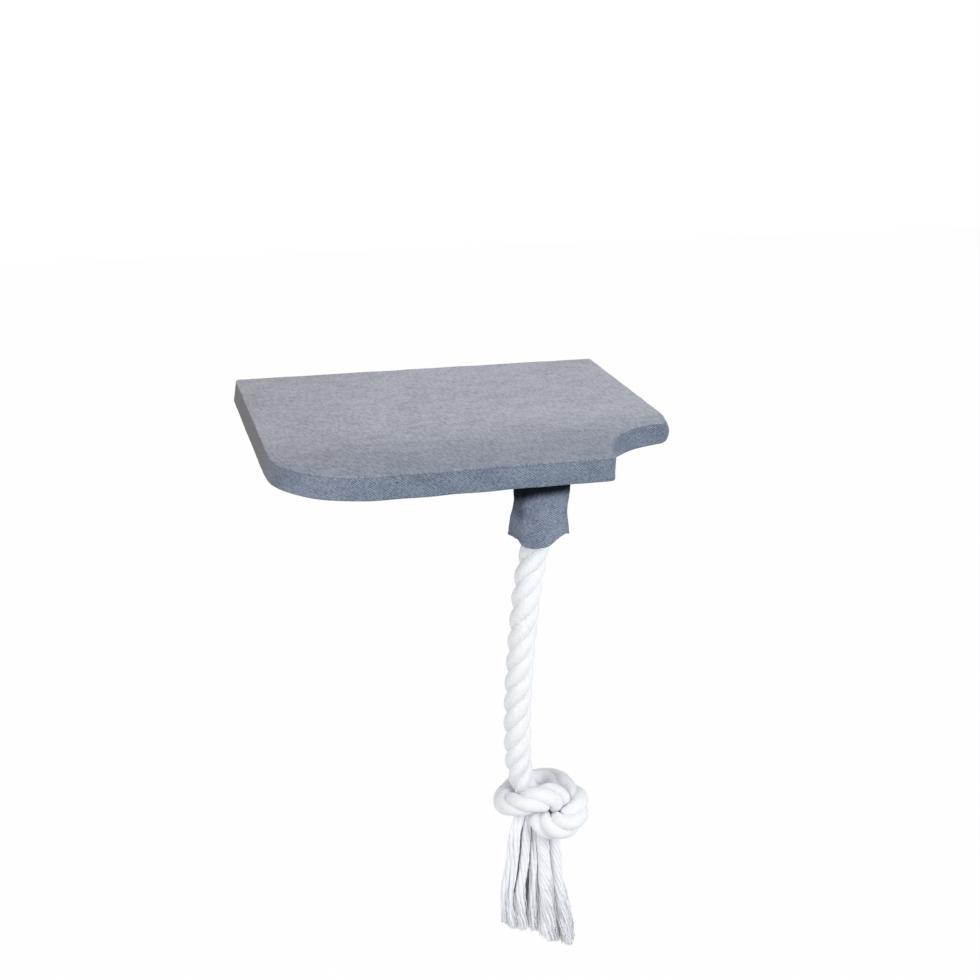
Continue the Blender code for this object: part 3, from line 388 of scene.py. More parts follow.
def tube_piece(name, lines, radii, sides, finish):
    """One piece of many round tubes of one size of grid."""
    count, rows = lines.shape[:2]
    return closed_tubes(name, *tubes(lines, radii, sides), count, rows, sides, finish)


# %% [markdown]
# ## Smooth routes and soft unevenness
# The rope has to lie where its CAD solid lies, so its route is drawn by the same cubic spans as there.
# Cloth and cotton are never quite even. A noise texture could move their points, but a few slow sine
# waves in seeded directions are the same in every run and can be given their size.

# %% Routes and swells


def smooth_through(points, count):
    """Points on a smooth curve through a route, as the CAD source draws it.

    Each span is a cubic. At a route's point the direction is the mean of the two chords there, each
    divided by its length.
    """
    route = np.array(points, dtype=float)
    chord = np.linalg.norm(np.diff(route, axis=0), axis=1)
    place = np.concatenate(([0], np.cumsum(chord)))
    slope = np.diff(route, axis=0) / chord[:, None]
    tangent = np.empty_like(route)
    tangent[0], tangent[-1] = slope[0], slope[-1]
    before, after = chord[:-1, None], chord[1:, None]
    tangent[1:-1] = (slope[:-1] * after + slope[1:] * before) / (before + after)
    at = np.linspace(0, place[-1], count)
    span = np.clip(np.searchsorted(place, at, side="right") - 1, 0, len(chord) - 1)
    size = chord[span][:, None]
    u = ((at - place[span]) / chord[span])[:, None]
    return ((2 * u ** 3 - 3 * u ** 2 + 1) * route[span] + (u ** 3 - 2 * u ** 2 + u) * size * tangent[span]
            + (3 * u ** 2 - 2 * u ** 3) * route[span + 1] + (u ** 3 - u ** 2) * size * tangent[span + 1])


def swell(seed, *coordinates, waves=7):
    """Smooth uneven field, about -1 to 1: a sum of slow sine waves in seeded directions.

    Each coordinate is given in units of the lumps' size.
    """
    draw = np.random.default_rng(seed)
    total = 0.0
    for _ in range(waves):
        direction = draw.normal(size=len(coordinates)) * 2.2
        total = total + np.sin(sum(d * c for d, c in zip(direction, coordinates))
                               + draw.uniform(0, 2 * math.pi))
    return total / math.sqrt(waves) * 0.8


print(f"one swell at two places: {swell(1, 0.0):.2f} and {swell(1, 0.5):.2f}")

# %% [markdown]
# ## Rope
# The rope is white cotton, three strands laid right-handed, 28 mm thick, one turn in 71 mm. Its
# outside could be three twisted tubes, but where strands press on each other tubes cut through each
# other. So it is one surface: round the rope's middle line go three lobes, each a part of an ellipse,
# and the whole pattern turns as it goes down. The knot is the same rope, drawn tight. The route's
# points are those of the CAD source, so the rope stays where its solid is. Only the knot's front
# strand and its right loop lie up to five millimetres higher or fuller, as soft strands do that
# press on each other.

# %% The rope's route
ROPE_PIVOT = np.array([0.0528, -0.28, -0.05675])
CAP_TILT = math.radians(7)
CAP_AXIS = np.array([math.sin(CAP_TILT), 0, math.cos(CAP_TILT)])
CAP_MOUTH, ROPE_FULL, ROPE_IN_CAP = -0.0267, -0.0307, 0.006
ROPE_LAY, KNOT_LAY = 0.0709, 0.0616
ROPE_ROUTE = [  # metres from the rope's pivot
    (-0.0058, 0.0000, -0.0418), (-0.0097, 0.0003, -0.0663), (-0.0126, 0.0017, -0.1033),
    (-0.0146, 0.0035, -0.1433), (-0.0153, 0.0060, -0.1832), (-0.0149, 0.0082, -0.2193),
    (-0.0138, 0.0090, -0.2542),
]
KNOT_ROUTE = [
    (-0.0138, 0.0090, -0.2542), (-0.0130, 0.0090, -0.2692), (-0.0108, 0.0080, -0.2843),
    (-0.0078, 0.0050, -0.2992), (-0.0028, -0.0010, -0.3122), (0.0002, -0.0110, -0.3232),
    (0.0042, -0.0240, -0.3282), (0.0150, -0.0352, -0.3274), (0.0268, -0.0388, -0.3224),
    (0.0360, -0.0340, -0.3148), (0.0400, -0.0230, -0.3100), (0.0392, -0.0090, -0.3092),
    (0.0364, 0.0050, -0.3102), (0.0332, 0.0190, -0.3122), (0.0266, 0.0306, -0.3142),
    (0.0142, 0.0360, -0.3162), (0.0002, 0.0340, -0.3182), (-0.0128, 0.0270, -0.3192),
    (-0.0228, 0.0150, -0.3192), (-0.0278, 0.0010, -0.3162), (-0.0248, -0.0120, -0.3112),
    (-0.0148, -0.0220, -0.3048), (-0.0008, -0.0262, -0.2994), (0.0136, -0.0242, -0.3006),
    (0.0230, -0.0216, -0.3092), (0.0260, -0.0192, -0.3215), (0.0252, -0.0105, -0.3360),
    (0.0222, -0.0047, -0.3463),
]
ROPE_RING_STEP = 0.0009
inside_cap = CAP_AXIS * (CAP_MOUTH + ROPE_IN_CAP)
mouth = CAP_AXIS * CAP_MOUTH
route = [inside_cap, mouth, CAP_AXIS * ROPE_FULL] + ROPE_ROUTE + KNOT_ROUTE[1:]
route_length = np.linalg.norm(np.diff(np.array(route), axis=0), axis=1)
knot_starts_at = route_length[:len(ROPE_ROUTE) + 2].sum()
rings = round(route_length.sum() / ROPE_RING_STEP) + 1
rope_line = smooth_through(route, rings) + ROPE_PIVOT
station = np.linspace(0, route_length.sum(), rings)
knot_ring = int(np.searchsorted(station, knot_starts_at))
print(f"rope {station[knot_ring] * 1000:.0f} mm to the knot, {rings} rings, knot from ring {knot_ring}")

# %% The strands' surface
STRANDS, STRAND_COLUMNS = 3, 26
STRAND_THICK, STRAND_OUT, STRAND_STRETCH = 7.8 * MM, 6.2 * MM, 1.14
YARNS_ROUND, YARN_FOLLOWS_LAY = 48, 0.35
UNEVEN, UNEVEN_LENGTH = 0.012, 0.03


def ring_frames(line):
    """Two directions across a line at each point, carried along it without turning about it.

    Each side direction is the one before it, less what of it points along the line.
    """
    along = unit(np.gradient(line, axis=0))
    side = np.empty_like(along)
    side[0] = unit(np.cross(along[0], (0, 1, 0)))
    for k in range(1, len(line)):
        side[k] = unit(side[k - 1] - along[k] * (side[k - 1] @ along[k]))
    return side, np.cross(along, side)


def lobes():
    """Angle and radius of the section's columns: for each strand the far side of an ellipse.

    The ellipse stands STRAND_OUT from the middle; its radius there solves the ellipse's equation
    along a ray at the column's angle. Columns crowd towards the creases.
    """
    share = np.linspace(-1, 1, STRAND_COLUMNS, endpoint=False)
    angle = math.pi / STRANDS * (0.45 * share + 0.55 * np.sin(share * math.pi / 2))
    deep, wide = STRAND_THICK ** 2, (STRAND_THICK * STRAND_STRETCH) ** 2
    a = np.cos(angle) ** 2 / deep + np.sin(angle) ** 2 / wide
    b = STRAND_OUT * np.cos(angle) / deep
    c = STRAND_OUT ** 2 / deep - 1
    radius = (b + np.sqrt(np.maximum(b * b - a * c, 0))) / a
    angles = np.concatenate([angle + k * 2 * math.pi / STRANDS for k in range(STRANDS)])
    return angles, np.tile(radius, STRANDS)


def laid_rope(line, thickness, turn):
    """Points and flat sheet of a laid rope.

    Point = line + thickness * radius(column) * (cos(angle + turn) * side + sin(angle + turn) * front).
    On the flat sheet the yarns of the strands run straight down.
    """
    side, front = ring_frames(line)
    angle, radius = lobes()
    whole = angle[None, :] + turn[:, None]
    uneven = 1 + UNEVEN * swell(11, station[:len(line), None] / UNEVEN_LENGTH + 0 * whole,
                                np.cos(angle)[None] * 1.3, np.sin(angle)[None] * 1.3)
    reach = radius[None] * thickness[:, None] * uneven
    spoke = np.cos(whole)[..., None] * side[:, None] + np.sin(whole)[..., None] * front[:, None]
    points = line[:, None] + reach[..., None] * spoke
    edge = np.concatenate([angle, angle[:1] + 2 * math.pi])
    u = (edge[None] + turn[:, None] * (1 - YARN_FOLLOWS_LAY)) / (2 * math.pi)
    v = np.broadcast_to(station[:len(line), None], u.shape)
    return points, np.stack([u, v], -1)


section = lobes()[1] * 1000
print(f"the strands' surface lies {section.min():.1f} to {section.max():.1f} mm from the rope's middle")

# %% [markdown]
# The cap squeezes the rope's end. In the knot the strands are squeezed too, and they turn more slowly
# where the loop opens. The front crossing is what everyone looks at, so the turn that it still lacks
# is spread over the stretch where the strands lie loosest.

# %% Thickness and turn down the whole rope
CAP_SQUEEZE = ([0, 0.006, 0.010, 0.014], [0.86, 0.88, 0.97, 1.0])  # station in metres, share of radius
# For each point of the knot's route: the share of the full radius, and how fast the strands turn.
KNOT_RADIUS_SHARES = ([1.0, 0.985, 0.96, 0.92, 0.88, 0.86, 0.93, 1.04, 1.05, 1.00, 0.95] + [0.90] * 3
                      + [0.86] * 7 + [0.89, 0.96, 1.00, 0.96, 0.90, 0.86, 0.86])
LAY_IN_KNOT = [1.0] * 5 + [1.1, 1.25, 1.35, 1.3, 1.1, 0.8, 0.6, 0.45, 0.35, 0.35, 0.45, 0.7] + [1.0] * 11
in_knot, at_points = np.linspace(0, 1, rings - knot_ring), np.linspace(0, 1, len(KNOT_ROUTE))
thickness = np.concatenate([np.interp(station, *CAP_SQUEEZE)[:knot_ring],
                            np.interp(in_knot, at_points, KNOT_RADIUS_SHARES)])
STRAND_START, CROSSING_TURN, CROSSING_SHARE = math.radians(90), math.radians(30), 22 / 27
third = 2 * math.pi / STRANDS
pace = np.interp(in_knot, at_points, LAY_IN_KNOT)
rate = np.concatenate([np.full(knot_ring, 1 / ROPE_LAY), pace / KNOT_LAY]) * 2 * math.pi
turn = STRAND_START + np.cumsum(rate * np.diff(station, prepend=0))
crossing = knot_ring + round((rings - 1 - knot_ring) * CROSSING_SHARE)
missing = (CROSSING_TURN - turn[crossing] + third / 2) % third - third / 2
loosened = np.cumsum(np.concatenate([np.zeros(knot_ring), np.clip(1 - pace, 0, 1)]))
turn += missing * loosened / loosened[-1]
print(f"the strands turn {math.degrees(missing):.0f} degrees more in the knot's loop")
rope_points, rope_sheet = laid_rope(rope_line, thickness, turn)
print("strand surface", rope_points.shape)

# %% [markdown]
# The cotton's finish follows the flat sheet: fine yarns down the strands, fibres across them, and a
# slightly bluish white with a painted shade that makes it a little greyer between the yarns.

# %% Cotton finish


def cotton(name, hollow_shade, crest, yarns, depth, fibre_scale, glow, reach):
    """White cotton: yarns side by side across the flat sheet's first direction, an uneven tone, and a
    painted shade that makes it greyer between the yarns. Some of the light goes in and comes out
    again nearby, which softens the shading."""
    f = Finish(name)
    u, v, _ = f.parts(f.uv())
    drift = f.noise(f.place(), 60, 2) - 0.5
    ridge = (u * yarns + drift * 0.8).wave()
    fibre = f.noise(f.vector(u * yarns * 1.7, v * fibre_scale), 1.0, 3, 0.6)
    lumps = f.noise(f.place(), 260, 3)
    share = (ridge * 0.5 + fibre * 0.35 + lumps * 0.4).rise(0.15, 0.85)
    height = ridge * 0.6 + fibre * 0.4
    return f.done(height, depth, 0.9, base_color=f.mix(share, hollow_shade, crest), roughness=0.92,
                  specular_ior_level=0.2, sheen_weight=0.15, sheen_roughness=0.5,
                  subsurface_weight=glow, subsurface_scale=reach, subsurface_radius=(1.0, 1.0, 1.0))


rope_cotton = cotton("cotton_strands", paint(224, 229, 237), paint(241, 244, 248), YARNS_ROUND,
                     0.00035, 420, 0.9, 0.006)
print("cotton finish ready")

# %% Rope and knot, one piece
rope = closed_tubes("rope_strands", np.concatenate([rope_points.reshape(-1, 3), rope_line[[0, -1]]]),
                    np.concatenate([rope_sheet.reshape(-1, 2), rope_sheet[[0, -1], 0]]), 1,
                    *rope_points.shape[:2], rope_cotton)

# %% [markdown]
# ## Tassel
# Below the knot the rope is unlaid. The yarns hang in bundles that fan out, with dark gaps between
# them, and end in a slanted, ragged cut. A bundle is a listed line; its yarns wind round it,
# wander a little and open up at the foot. Hair particles could do this, but they are no mesh. So the
# outer yarns, the inner ones in a painted shade, the frayed yarns and the loose fibres are four
# pieces of thin tubes with few sides.

# %% Tassel bundles
BUNDLES = [  # x and z down the middle line in mm, depth y in mm, radius in mm, yarns, turns, inner
    ([(40, -372), (31.4, -395), (26.6, -436), (22.0, -472), (24.6, -508)], -294, 3.8, 6, 0.9, 0),
    ([(43, -372), (34.2, -395), (30.9, -438), (27.0, -474), (30.5, -512)], -297, 3.6, 5, 0.8, 0),
    ([(47, -372), (43.3, -398), (41.0, -438), (37.7, -472), (40.5, -518)], -298, 4.6, 7, 1.2, 0),
    ([(52, -374), (52.2, -400), (51.7, -438), (51.2, -472), (52.0, -523)], -296, 3.4, 5, 0.8, 0),
    ([(58, -374), (59.0, -402), (62.2, -440), (66.2, -480), (68.5, -533)], -299, 7.6, 11, 1.6, 0),
    ([(57, -380), (57.0, -440), (58.5, -475), (59.0, -500), (60.0, -527)], -292, 4.4, 6, 0.8, 0),
    ([(66, -376), (71.8, -408), (76.2, -440), (82.0, -480), (91.0, -542)], -298, 6.2, 9, 1.3, 0),
    ([(68, -376), (77.2, -410), (78.4, -440), (85.0, -480), (96.5, -542)], -291, 4.6, 6, 0.9, 0),
    ([(62, -380), (69.0, -430), (73.5, -470), (76.5, -505), (80.0, -541)], -294, 4.6, 7, 1.0, 0),
    ([(45, -378), (41.0, -410), (38.5, -450), (36.0, -485), (36.0, -515)], -284, 5.0, 6, 0.7, 1),
    ([(54, -378), (52.0, -415), (52.0, -450), (53.0, -490), (54.0, -522)], -283, 5.4, 7, 0.7, 1),
    ([(64, -380), (68.0, -420), (71.0, -455), (75.0, -495), (78.0, -538)], -283, 5.4, 7, 0.7, 1),
    ([(47, -375), (38.5, -400), (34.5, -440), (32.0, -478), (33.0, -509)], -283, 4.6, 7, 0.9, 0),
    ([(52, -375), (46.0, -402), (45.0, -440), (45.0, -480), (46.0, -517)], -272, 5.4, 8, 1.1, 0),
    ([(58, -375), (56.0, -404), (56.0, -440), (57.0, -482), (59.0, -528)], -269, 5.6, 8, 1.0, 0),
    ([(64, -377), (69.0, -408), (71.0, -442), (75.0, -484), (80.0, -539)], -271, 5.8, 8, 1.2, 0),
    ([(68, -377), (79.0, -412), (82.0, -446), (87.0, -486), (96.0, -541)], -280, 5.0, 7, 1.0, 0),
]
YARN_RADIUS, YARN_RINGS, YARN_SIDES = 1.80 * MM, 64, 8
TWIST, YARN_WANDER = 1.6, 0.40 * MM
OUTER_RING, MIDDLE_YARN = 0.66, 0.05  # where a bundle's yarns stand, as shares of its radius
CUT_RAGGED = 0.9
CUT_ALONG, CUT_LEVEL = [20, 31, 53, 68, 77, 101], [-507, -513, -521, -531, -540, -543]


def bundle_yarns(route, depth, radius, yarns, turns, draw):
    """Middle lines of one bundle's yarns, (yarns, rings, 3).

    Line = bundle's line + spread * radius * (cos(angle) across, sin(angle) in depth), where the angle
    grows with the bundle's twist and the spread is small at the top and opens at the foot. Each yarn
    is as long as it takes to reach the slanted cut.
    """
    share = np.linspace(0, 1, YARN_RINGS)
    middle_xz = np.array(route) * MM
    drop = np.linspace(0, 1, len(route))
    start_depth = ROPE_PIVOT[1] - 0.005
    y = np.interp(drop, [0, 0.3, 1], [start_depth * 0.6 + depth * MM * 0.4, depth * MM, depth * MM])
    middle = smooth_through(np.stack([middle_xz[:, 0], y, middle_xz[:, 1]], 1), YARN_RINGS)
    outer = max(yarns - 1, 1)
    angle = np.append(np.arange(outer) * 2 * math.pi / outer, 0) + draw.uniform(0, 6)
    ring = np.append(np.full(outer, OUTER_RING), MIDDLE_YARN) * draw.uniform(0.9, 1.08, yarns)
    opened = 0.55 + 0.45 * np.clip(share / 0.25, 0, 1) + 0.30 * np.clip((share - 0.65) / 0.35, 0, 1) ** 1.4
    wound = angle[:, None] + 2 * math.pi * TWIST * turns * share * (1 - 0.3 * share)
    reach = ring[:, None] * radius * MM * opened
    lines = np.repeat(middle[None], yarns, 0)
    lines[..., 0] += reach * np.cos(wound)
    lines[..., 1] += reach * np.sin(wound)
    loose = np.clip(share, 0.1, 1) ** 1.5
    for axis in (0, 1):
        phase, pace = draw.uniform(0, 6.3, (2, yarns, 1)), draw.uniform(2.5, 7, (2, yarns, 1))
        wander = np.sin(pace[0] * share * 3 + phase[0]) + 0.5 * np.sin(pace[1] * share * 7 + phase[1])
        lines[..., axis] += wander * YARN_WANDER * loose
    cut = (np.interp(lines[:, -1, 0] / MM, CUT_ALONG, CUT_LEVEL) + draw.normal(0, CUT_RAGGED, yarns)) * MM
    length = (cut - lines[:, 0, 2]) / (lines[:, -1, 2] - lines[:, 0, 2])
    return lines[:, :1] + (lines - lines[:, :1]) * length[:, None, None]


print(len(BUNDLES), "bundles of", sum(bundle[3] for bundle in BUNDLES), "yarns")

# %% Yarns of the tassel
draw = np.random.default_rng(23)
yarn_lines, yarn_inner = [], []
for bundle_route, depth, radius, yarns, turns, inner in BUNDLES:
    yarn_lines.append(bundle_yarns(bundle_route, depth, radius, yarns, turns, draw))
    yarn_inner.append(np.full(yarns, inner))
yarn_lines, yarn_inner = np.concatenate(yarn_lines), np.concatenate(yarn_inner)
yarn_share = np.linspace(0, 1, YARN_RINGS)
yarn_radii = (YARN_RADIUS * draw.uniform(0.86, 1.12, (len(yarn_lines), 1))
              * (1 + 0.07 * np.sin(yarn_share * 90 + draw.uniform(0, 6.3, (len(yarn_lines), 1))))
              * np.interp(yarn_share, [0, 0.96, 0.985, 1], [1, 1.04, 1.0, 0.45]))
YARN_LOOK = (3, 0.0002, 700, 0.25, 0.001)  # yarns round, bump, fibre scale, glow and its reach
tassel_cotton = cotton("cotton_yarns", paint(232, 236, 244), paint(246, 249, 254), *YARN_LOOK)
# The inner yarns' cotton is greyer: a painted shade.
painted_shade_cotton = cotton("cotton_yarns_in_shade", paint(172, 171, 176), paint(210, 211, 218), *YARN_LOOK)
outer_yarns, inner_yarns = [
    tube_piece(name, yarn_lines[yarn_inner == inner], yarn_radii[yarn_inner == inner], YARN_SIDES, finish)
    for inner, name, finish in ((0, "tassel_yarns", tassel_cotton), (1, "tassel_inner_yarns", painted_shade_cotton))]

# %% [markdown]
# Bundles alone look too neat. Fine frayed yarns in front of their lower half, thin loose fibres and a
# few curled threads break the edges up, at the places where the real tassel is most worn.

# %% Loose fibres
FIBRES, FIBRE_RINGS, FIBRE_RADIUS, FIBRE_LONG = 70, 14, 0.15 * MM, (5, 14)  # long in mm


def loose_fibres(count, draw):
    """Thin curls that leave a yarn low down: a start on the yarn, then a slow random bend."""
    share = np.linspace(0, 1, FIBRE_RINGS)[None, :, None]
    outer = np.flatnonzero(yarn_inner == 0)
    start = yarn_lines[draw.choice(outer, count), draw.integers(22, YARN_RINGS - 3, count)]
    start = start + draw.normal(0, 0.9 * MM, start.shape)
    fall = np.stack([draw.normal(0, 0.35, count), draw.normal(-0.15, 0.35, count),
                     draw.uniform(-1.1, -0.4, count)], 1)
    bend = draw.normal(0, 1, (count, 3)) * [1, 0.8, 0.3]
    length = draw.uniform(*FIBRE_LONG, (count, 1, 1)) * MM
    curl = np.sin(share * draw.uniform(2, 5, (count, 1, 1)) + draw.uniform(0, 6.3, (count, 1, 1)))
    return start[:, None] + length * (share * fall[:, None] + curl * 0.12 * bend[:, None])


# %% Frayed yarns
FRAYED, FRAY_RINGS, FRAY_RADIUS, FRAY_SIDES, FRAY_WAVE = 1100, 18, 0.42 * MM, 4, 0.9 * MM
FRAY_STARTS = (0.42, 0.90)  # share of the way down
FRAY_ASIDE, FRAY_IN_DEPTH, FRAY_SHORTER = (-3.2, 3.2), (-1.9, 0.6), (-0.8, 4.0)  # mm, least and most


def frayed_yarns(count, draw):
    """Single fine yarns in front of the bundles' lower half.

    Each follows a bundle's yarn from somewhere below its middle to the foot, set a little aside and
    forward, with a slow wave across that grows downwards.
    """
    share = np.linspace(0, 1, FRAY_RINGS)
    outer = draw.choice(np.flatnonzero(yarn_inner == 0), count)
    start = draw.uniform(*FRAY_STARTS, (count, 1))
    at = (start + (1 - start) * share) * (YARN_RINGS - 1)
    low = np.clip(at.astype(int), 0, YARN_RINGS - 2)
    part = (at - low)[..., None]
    line = yarn_lines[outer[:, None], low] * (1 - part) + yarn_lines[outer[:, None], low + 1] * part
    aside = draw.uniform(*FRAY_ASIDE, (count, 1)) * MM
    wave = np.sin(share * draw.uniform(3, 9, (count, 1)) + draw.uniform(0, 6.3, (count, 1))) * FRAY_WAVE
    line[..., 0] += (aside + wave) * np.clip(share * 3, 0, 1)
    line[..., 0] = np.clip(line[..., 0], (CUT_ALONG[0] - 0.5) * MM, CUT_ALONG[-1] * MM)
    line[..., 1] += draw.uniform(*FRAY_IN_DEPTH, (count, 1)) * MM * np.clip(share * 4, 0, 1) - 0.4 * MM
    line[..., 2] += draw.uniform(*FRAY_SHORTER, (count, 1)) * MM * share ** 2
    return line


# %% Curled threads
CURLS = [  # middle x and z, reach across and up in mm, first and last angle in degrees, depth y in mm
    ((45.3, -437.0), (3.4, 1.8), (190, 355), -304),
    ((45.8, -419.0), (1.3, 2.4), (60, 320), -302),
    ((65.6, -462.5), (4.8, 6.4), (-150, 80), -309),
    ((62.0, -470.0), (3.0, 5.0), (20, 150), -309),
]
CURL_RADIUS, CURL_BOW = 0.38 * MM, 7


def curled_threads():
    """A few threads that bow out of the yarns: each is a part of an ellipse that faces the room, and
    its two ends go back between the yarns."""
    lines, bow = [], 1 - np.sin(np.linspace(0, math.pi, FIBRE_RINGS)) ** 0.7
    for (x, z), (across, up), (first, last), depth in CURLS:
        angle = np.radians(np.linspace(first, last, FIBRE_RINGS))
        lines.append(np.stack([x + across * np.cos(angle), depth + CURL_BOW * bow,
                               z + up * np.sin(angle)], 1) * MM)
    return np.array(lines)


# %% Frayed yarns, fibres and curls, all made
frayed = frayed_yarns(FRAYED, draw)
frayed_radii = FRAY_RADIUS * draw.uniform(0.6, 1.3, (FRAYED, 1)) * np.interp(
    np.linspace(0, 1, FRAY_RINGS), [0, 0.1, 0.9, 1], [0.4, 1, 1, 0.5])
fray = tube_piece("tassel_frayed_yarns", frayed, frayed_radii, FRAY_SIDES, tassel_cotton)
fibre_lines = loose_fibres(FIBRES, draw)
fibre_radii = FIBRE_RADIUS * np.interp(np.linspace(0, 1, FIBRE_RINGS), [0, 0.8, 1], [1, 0.9, 0.4])
curls = curled_threads()
fibres = tube_piece("tassel_fibres", np.concatenate([fibre_lines, curls]),
                    np.concatenate([np.repeat(fibre_radii[None], FIBRES, 0),
                                    np.full(curls.shape[:2], CURL_RADIUS)]), 3, tassel_cotton)

# %% [markdown]
# Every dressed piece is told which body it rides on and which CAD solids it stands for, and those
# solids are hidden.

# %% The dressed rope rides on its body


def settle(piece, body, slot, *replaced):
    """Let a piece ride on a body and stand for CAD nodes where it has any, which are hidden. The slot is not
    used.
    """
    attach(piece, body)
    if replaced:
        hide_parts(*replaced)


settle(rope, "rope", "cotton_rope", "rope", "rope_knot")
for piece in (outer_yarns, inner_yarns, fray, fibres):
    settle(piece, "rope", "cotton_rope", "rope_tassel")
print(f"rope and knot {station[-1] * 1000:.0f} mm")

# %% [markdown]
# ## The board's outline
# All the cloth follows one outline: straight at the wall and the sides, a quarter ellipse at the
# front left, and a round notch at the front right between two cusps. Each cloth could have its own
# edge, but one function of an inset keeps the face, the band, the foam, the lining and the staples
# together. At the right cusp the cloth bunches into a soft nose: its top sags, its side bulges out.

# %% Outline
BOARD_WIDTH, BOARD_DEPTH = 0.400, 0.330
CORNER_ALONG_FRONT, CORNER_ALONG_SIDE = 0.088, 0.076
NOTCH_RADIUS = 0.0905
FRONT_CUSP, RIGHT_CUSP, REAR_CORNER, LEAST_CORNER = 0.0050, 0.0120, 0.0040, 0.0005
BOARD_TOP, BAND_UNDERSIDE = 0.01215, -0.01215
LINING_UNDERSIDE, FIXING_PLANE = -0.01305, -0.01335
EDGE_COLUMNS = [8, 150, 84, 138, 12, 88, 20, 150, 8, 240]


def board_outline(inset):
    """The outline moved inwards, counter-clockwise from the rear left, (columns, 2).

    Ten stretches follow each other, each with its own fixed number of columns, so that a column
    runs straight inwards from one inset to the next.
    """
    half = BOARD_WIDTH / 2
    rear = max(REAR_CORNER - inset, LEAST_CORNER)
    counts = iter(EDGE_COLUMNS)

    def arc(x, y, radius, start, end):
        angle = np.radians(np.linspace(start, end, next(counts), endpoint=False))
        return np.stack([x + radius * np.cos(angle), y + radius * np.sin(angle)], 1)

    def line(start, end):
        share = np.linspace(0, 1, next(counts), endpoint=False)[:, None]
        return np.array(start) * (1 - share) + np.array(end) * share

    def cusp_along(radius):
        return math.sqrt((NOTCH_RADIUS + inset + radius) ** 2 - (inset + radius) ** 2)

    front, right = max(FRONT_CUSP - inset, LEAST_CORNER), max(RIGHT_CUSP - inset, LEAST_CORNER)
    front_along, right_along = cusp_along(front), cusp_along(right)
    front_lean = math.degrees(math.atan2(inset + front, front_along))
    right_lean = math.degrees(math.atan2(inset + right, right_along))
    left, fore, right_side, back = inset - half, inset - BOARD_DEPTH, half - inset, -inset

    rear_left = arc(left + rear, back - rear, rear, 90, 180)
    left_edge = line((left, back - rear), (left, CORNER_ALONG_SIDE - BOARD_DEPTH))
    turn = np.radians(np.linspace(180, 270, next(counts), endpoint=False))
    normal = unit(np.stack([CORNER_ALONG_SIDE * np.cos(turn), CORNER_ALONG_FRONT * np.sin(turn)], 1))
    corner = np.stack([CORNER_ALONG_FRONT * (1 + np.cos(turn)) - half,
                       CORNER_ALONG_SIDE * (1 + np.sin(turn)) - BOARD_DEPTH], 1) - normal * inset
    front_edge = line((CORNER_ALONG_FRONT - half, fore), (half - front_along, fore))
    front_cusp = arc(half - front_along, fore + front, front, -90, -front_lean)
    notch = arc(half, -BOARD_DEPTH, NOTCH_RADIUS + inset, 180 - front_lean, 90 + right_lean)
    right_cusp = arc(right_side - right, right_along - BOARD_DEPTH, right, right_lean - 90, 0)
    right_edge = line((right_side, right_along - BOARD_DEPTH), (right_side, back - rear))
    rear_right = arc(right_side - rear, back - rear, rear, 0, 90)
    rear_edge = line((right_side - rear, back), (left + rear, back))
    return np.concatenate([rear_left, left_edge, corner, front_edge, front_cusp, notch, right_cusp,
                           right_edge, rear_right, rear_edge])


# %% The soft nose, and the way round
NOSE_PLACE, NOSE_REACH = np.array([0.1970, -0.2360]), 0.012


def nose(x, y):
    """1 at the right cusp and 0 a couple of centimetres away, along a bell curve."""
    return np.exp(-(np.hypot(x - NOSE_PLACE[0], y - NOSE_PLACE[1]) / NOSE_REACH) ** 2)


def way_round(edge):
    """Distance travelled round a closed outline: at each of its points, and back at the first."""
    steps = np.diff(np.vstack([edge, edge[:1]]), axis=0)
    return np.concatenate(([0], np.cumsum(np.linalg.norm(steps, axis=1))))


rim = board_outline(0.0)
outward = unit(np.roll(rim, -1, axis=0) - np.roll(rim, 1, axis=0))[:, ::-1] * [1, -1]
rim_along = way_round(rim)
COLUMNS = len(rim)
print(f"outline {rim_along[-1] * 1000:.0f} mm round, {COLUMNS} columns")

# %% [markdown]
# ## Twill finish
# The cloth is a cotton twill: raised diagonal lines of light threads over dark ones, about two
# millimetres apart. The lines are clear on the band and the cuff. The sitting face is brushed, so its
# lines drown in a pale nap, which is darker towards the front edge.
# Threads this fine are drawn by nodes, not by geometry, on the flat sheet in metres. What belongs to a
# place on the object is painted by object coordinates: the painted warm shade on the band's left side,
# the sitting face's darker, warmer cloth towards the left back, the painted light round the band's
# front left corner and the painted shade under the board.

# %% What belongs to a place on the object
# The band's left side gets a painted warm shade; the sitting face gets darker and warmer at the left back.
SIDE_SHADE_SPAN, SIDE_SHADE = (0.190, 0.1995), paint(110, 106, 107)
FACE_TINT_SPAN, FACE_TINT = (0.04, 0.21), (0.885, 0.850, 0.850, 1.0)
TINT_GROWS_BACK = (-0.32, -0.20)
# Painted light round the band's front left corner.
CORNER_LIGHT_LEFT, CORNER_LIGHT_FORWARD, CORNER_LIGHT = (0.10, 0.150), (0.276, 0.300), (1.17, 1.15, 1.15, 1.0)


def warm_tint_left(f, cloth, most, start, end, colour, way):
    """Mix a warm colour into the cloth towards the board's left end, between two places, more towards the
    back.
    """
    x, y, _ = f.parts(f.place())
    return f.mix((x * -1).rise(start, end) * y.rise(*TINT_GROWS_BACK) * most, cloth, colour, way)


def painted_corner_light(f, cloth):
    """Painted light on the band's cloth round the front left corner, which the lamps light less."""
    x, y, _ = f.parts(f.place())
    round_corner = (x * -1).rise(*CORNER_LIGHT_LEFT) * (y * -1).rise(*CORNER_LIGHT_FORWARD)
    return f.mix(round_corner, cloth, CORNER_LIGHT, "MULTIPLY")


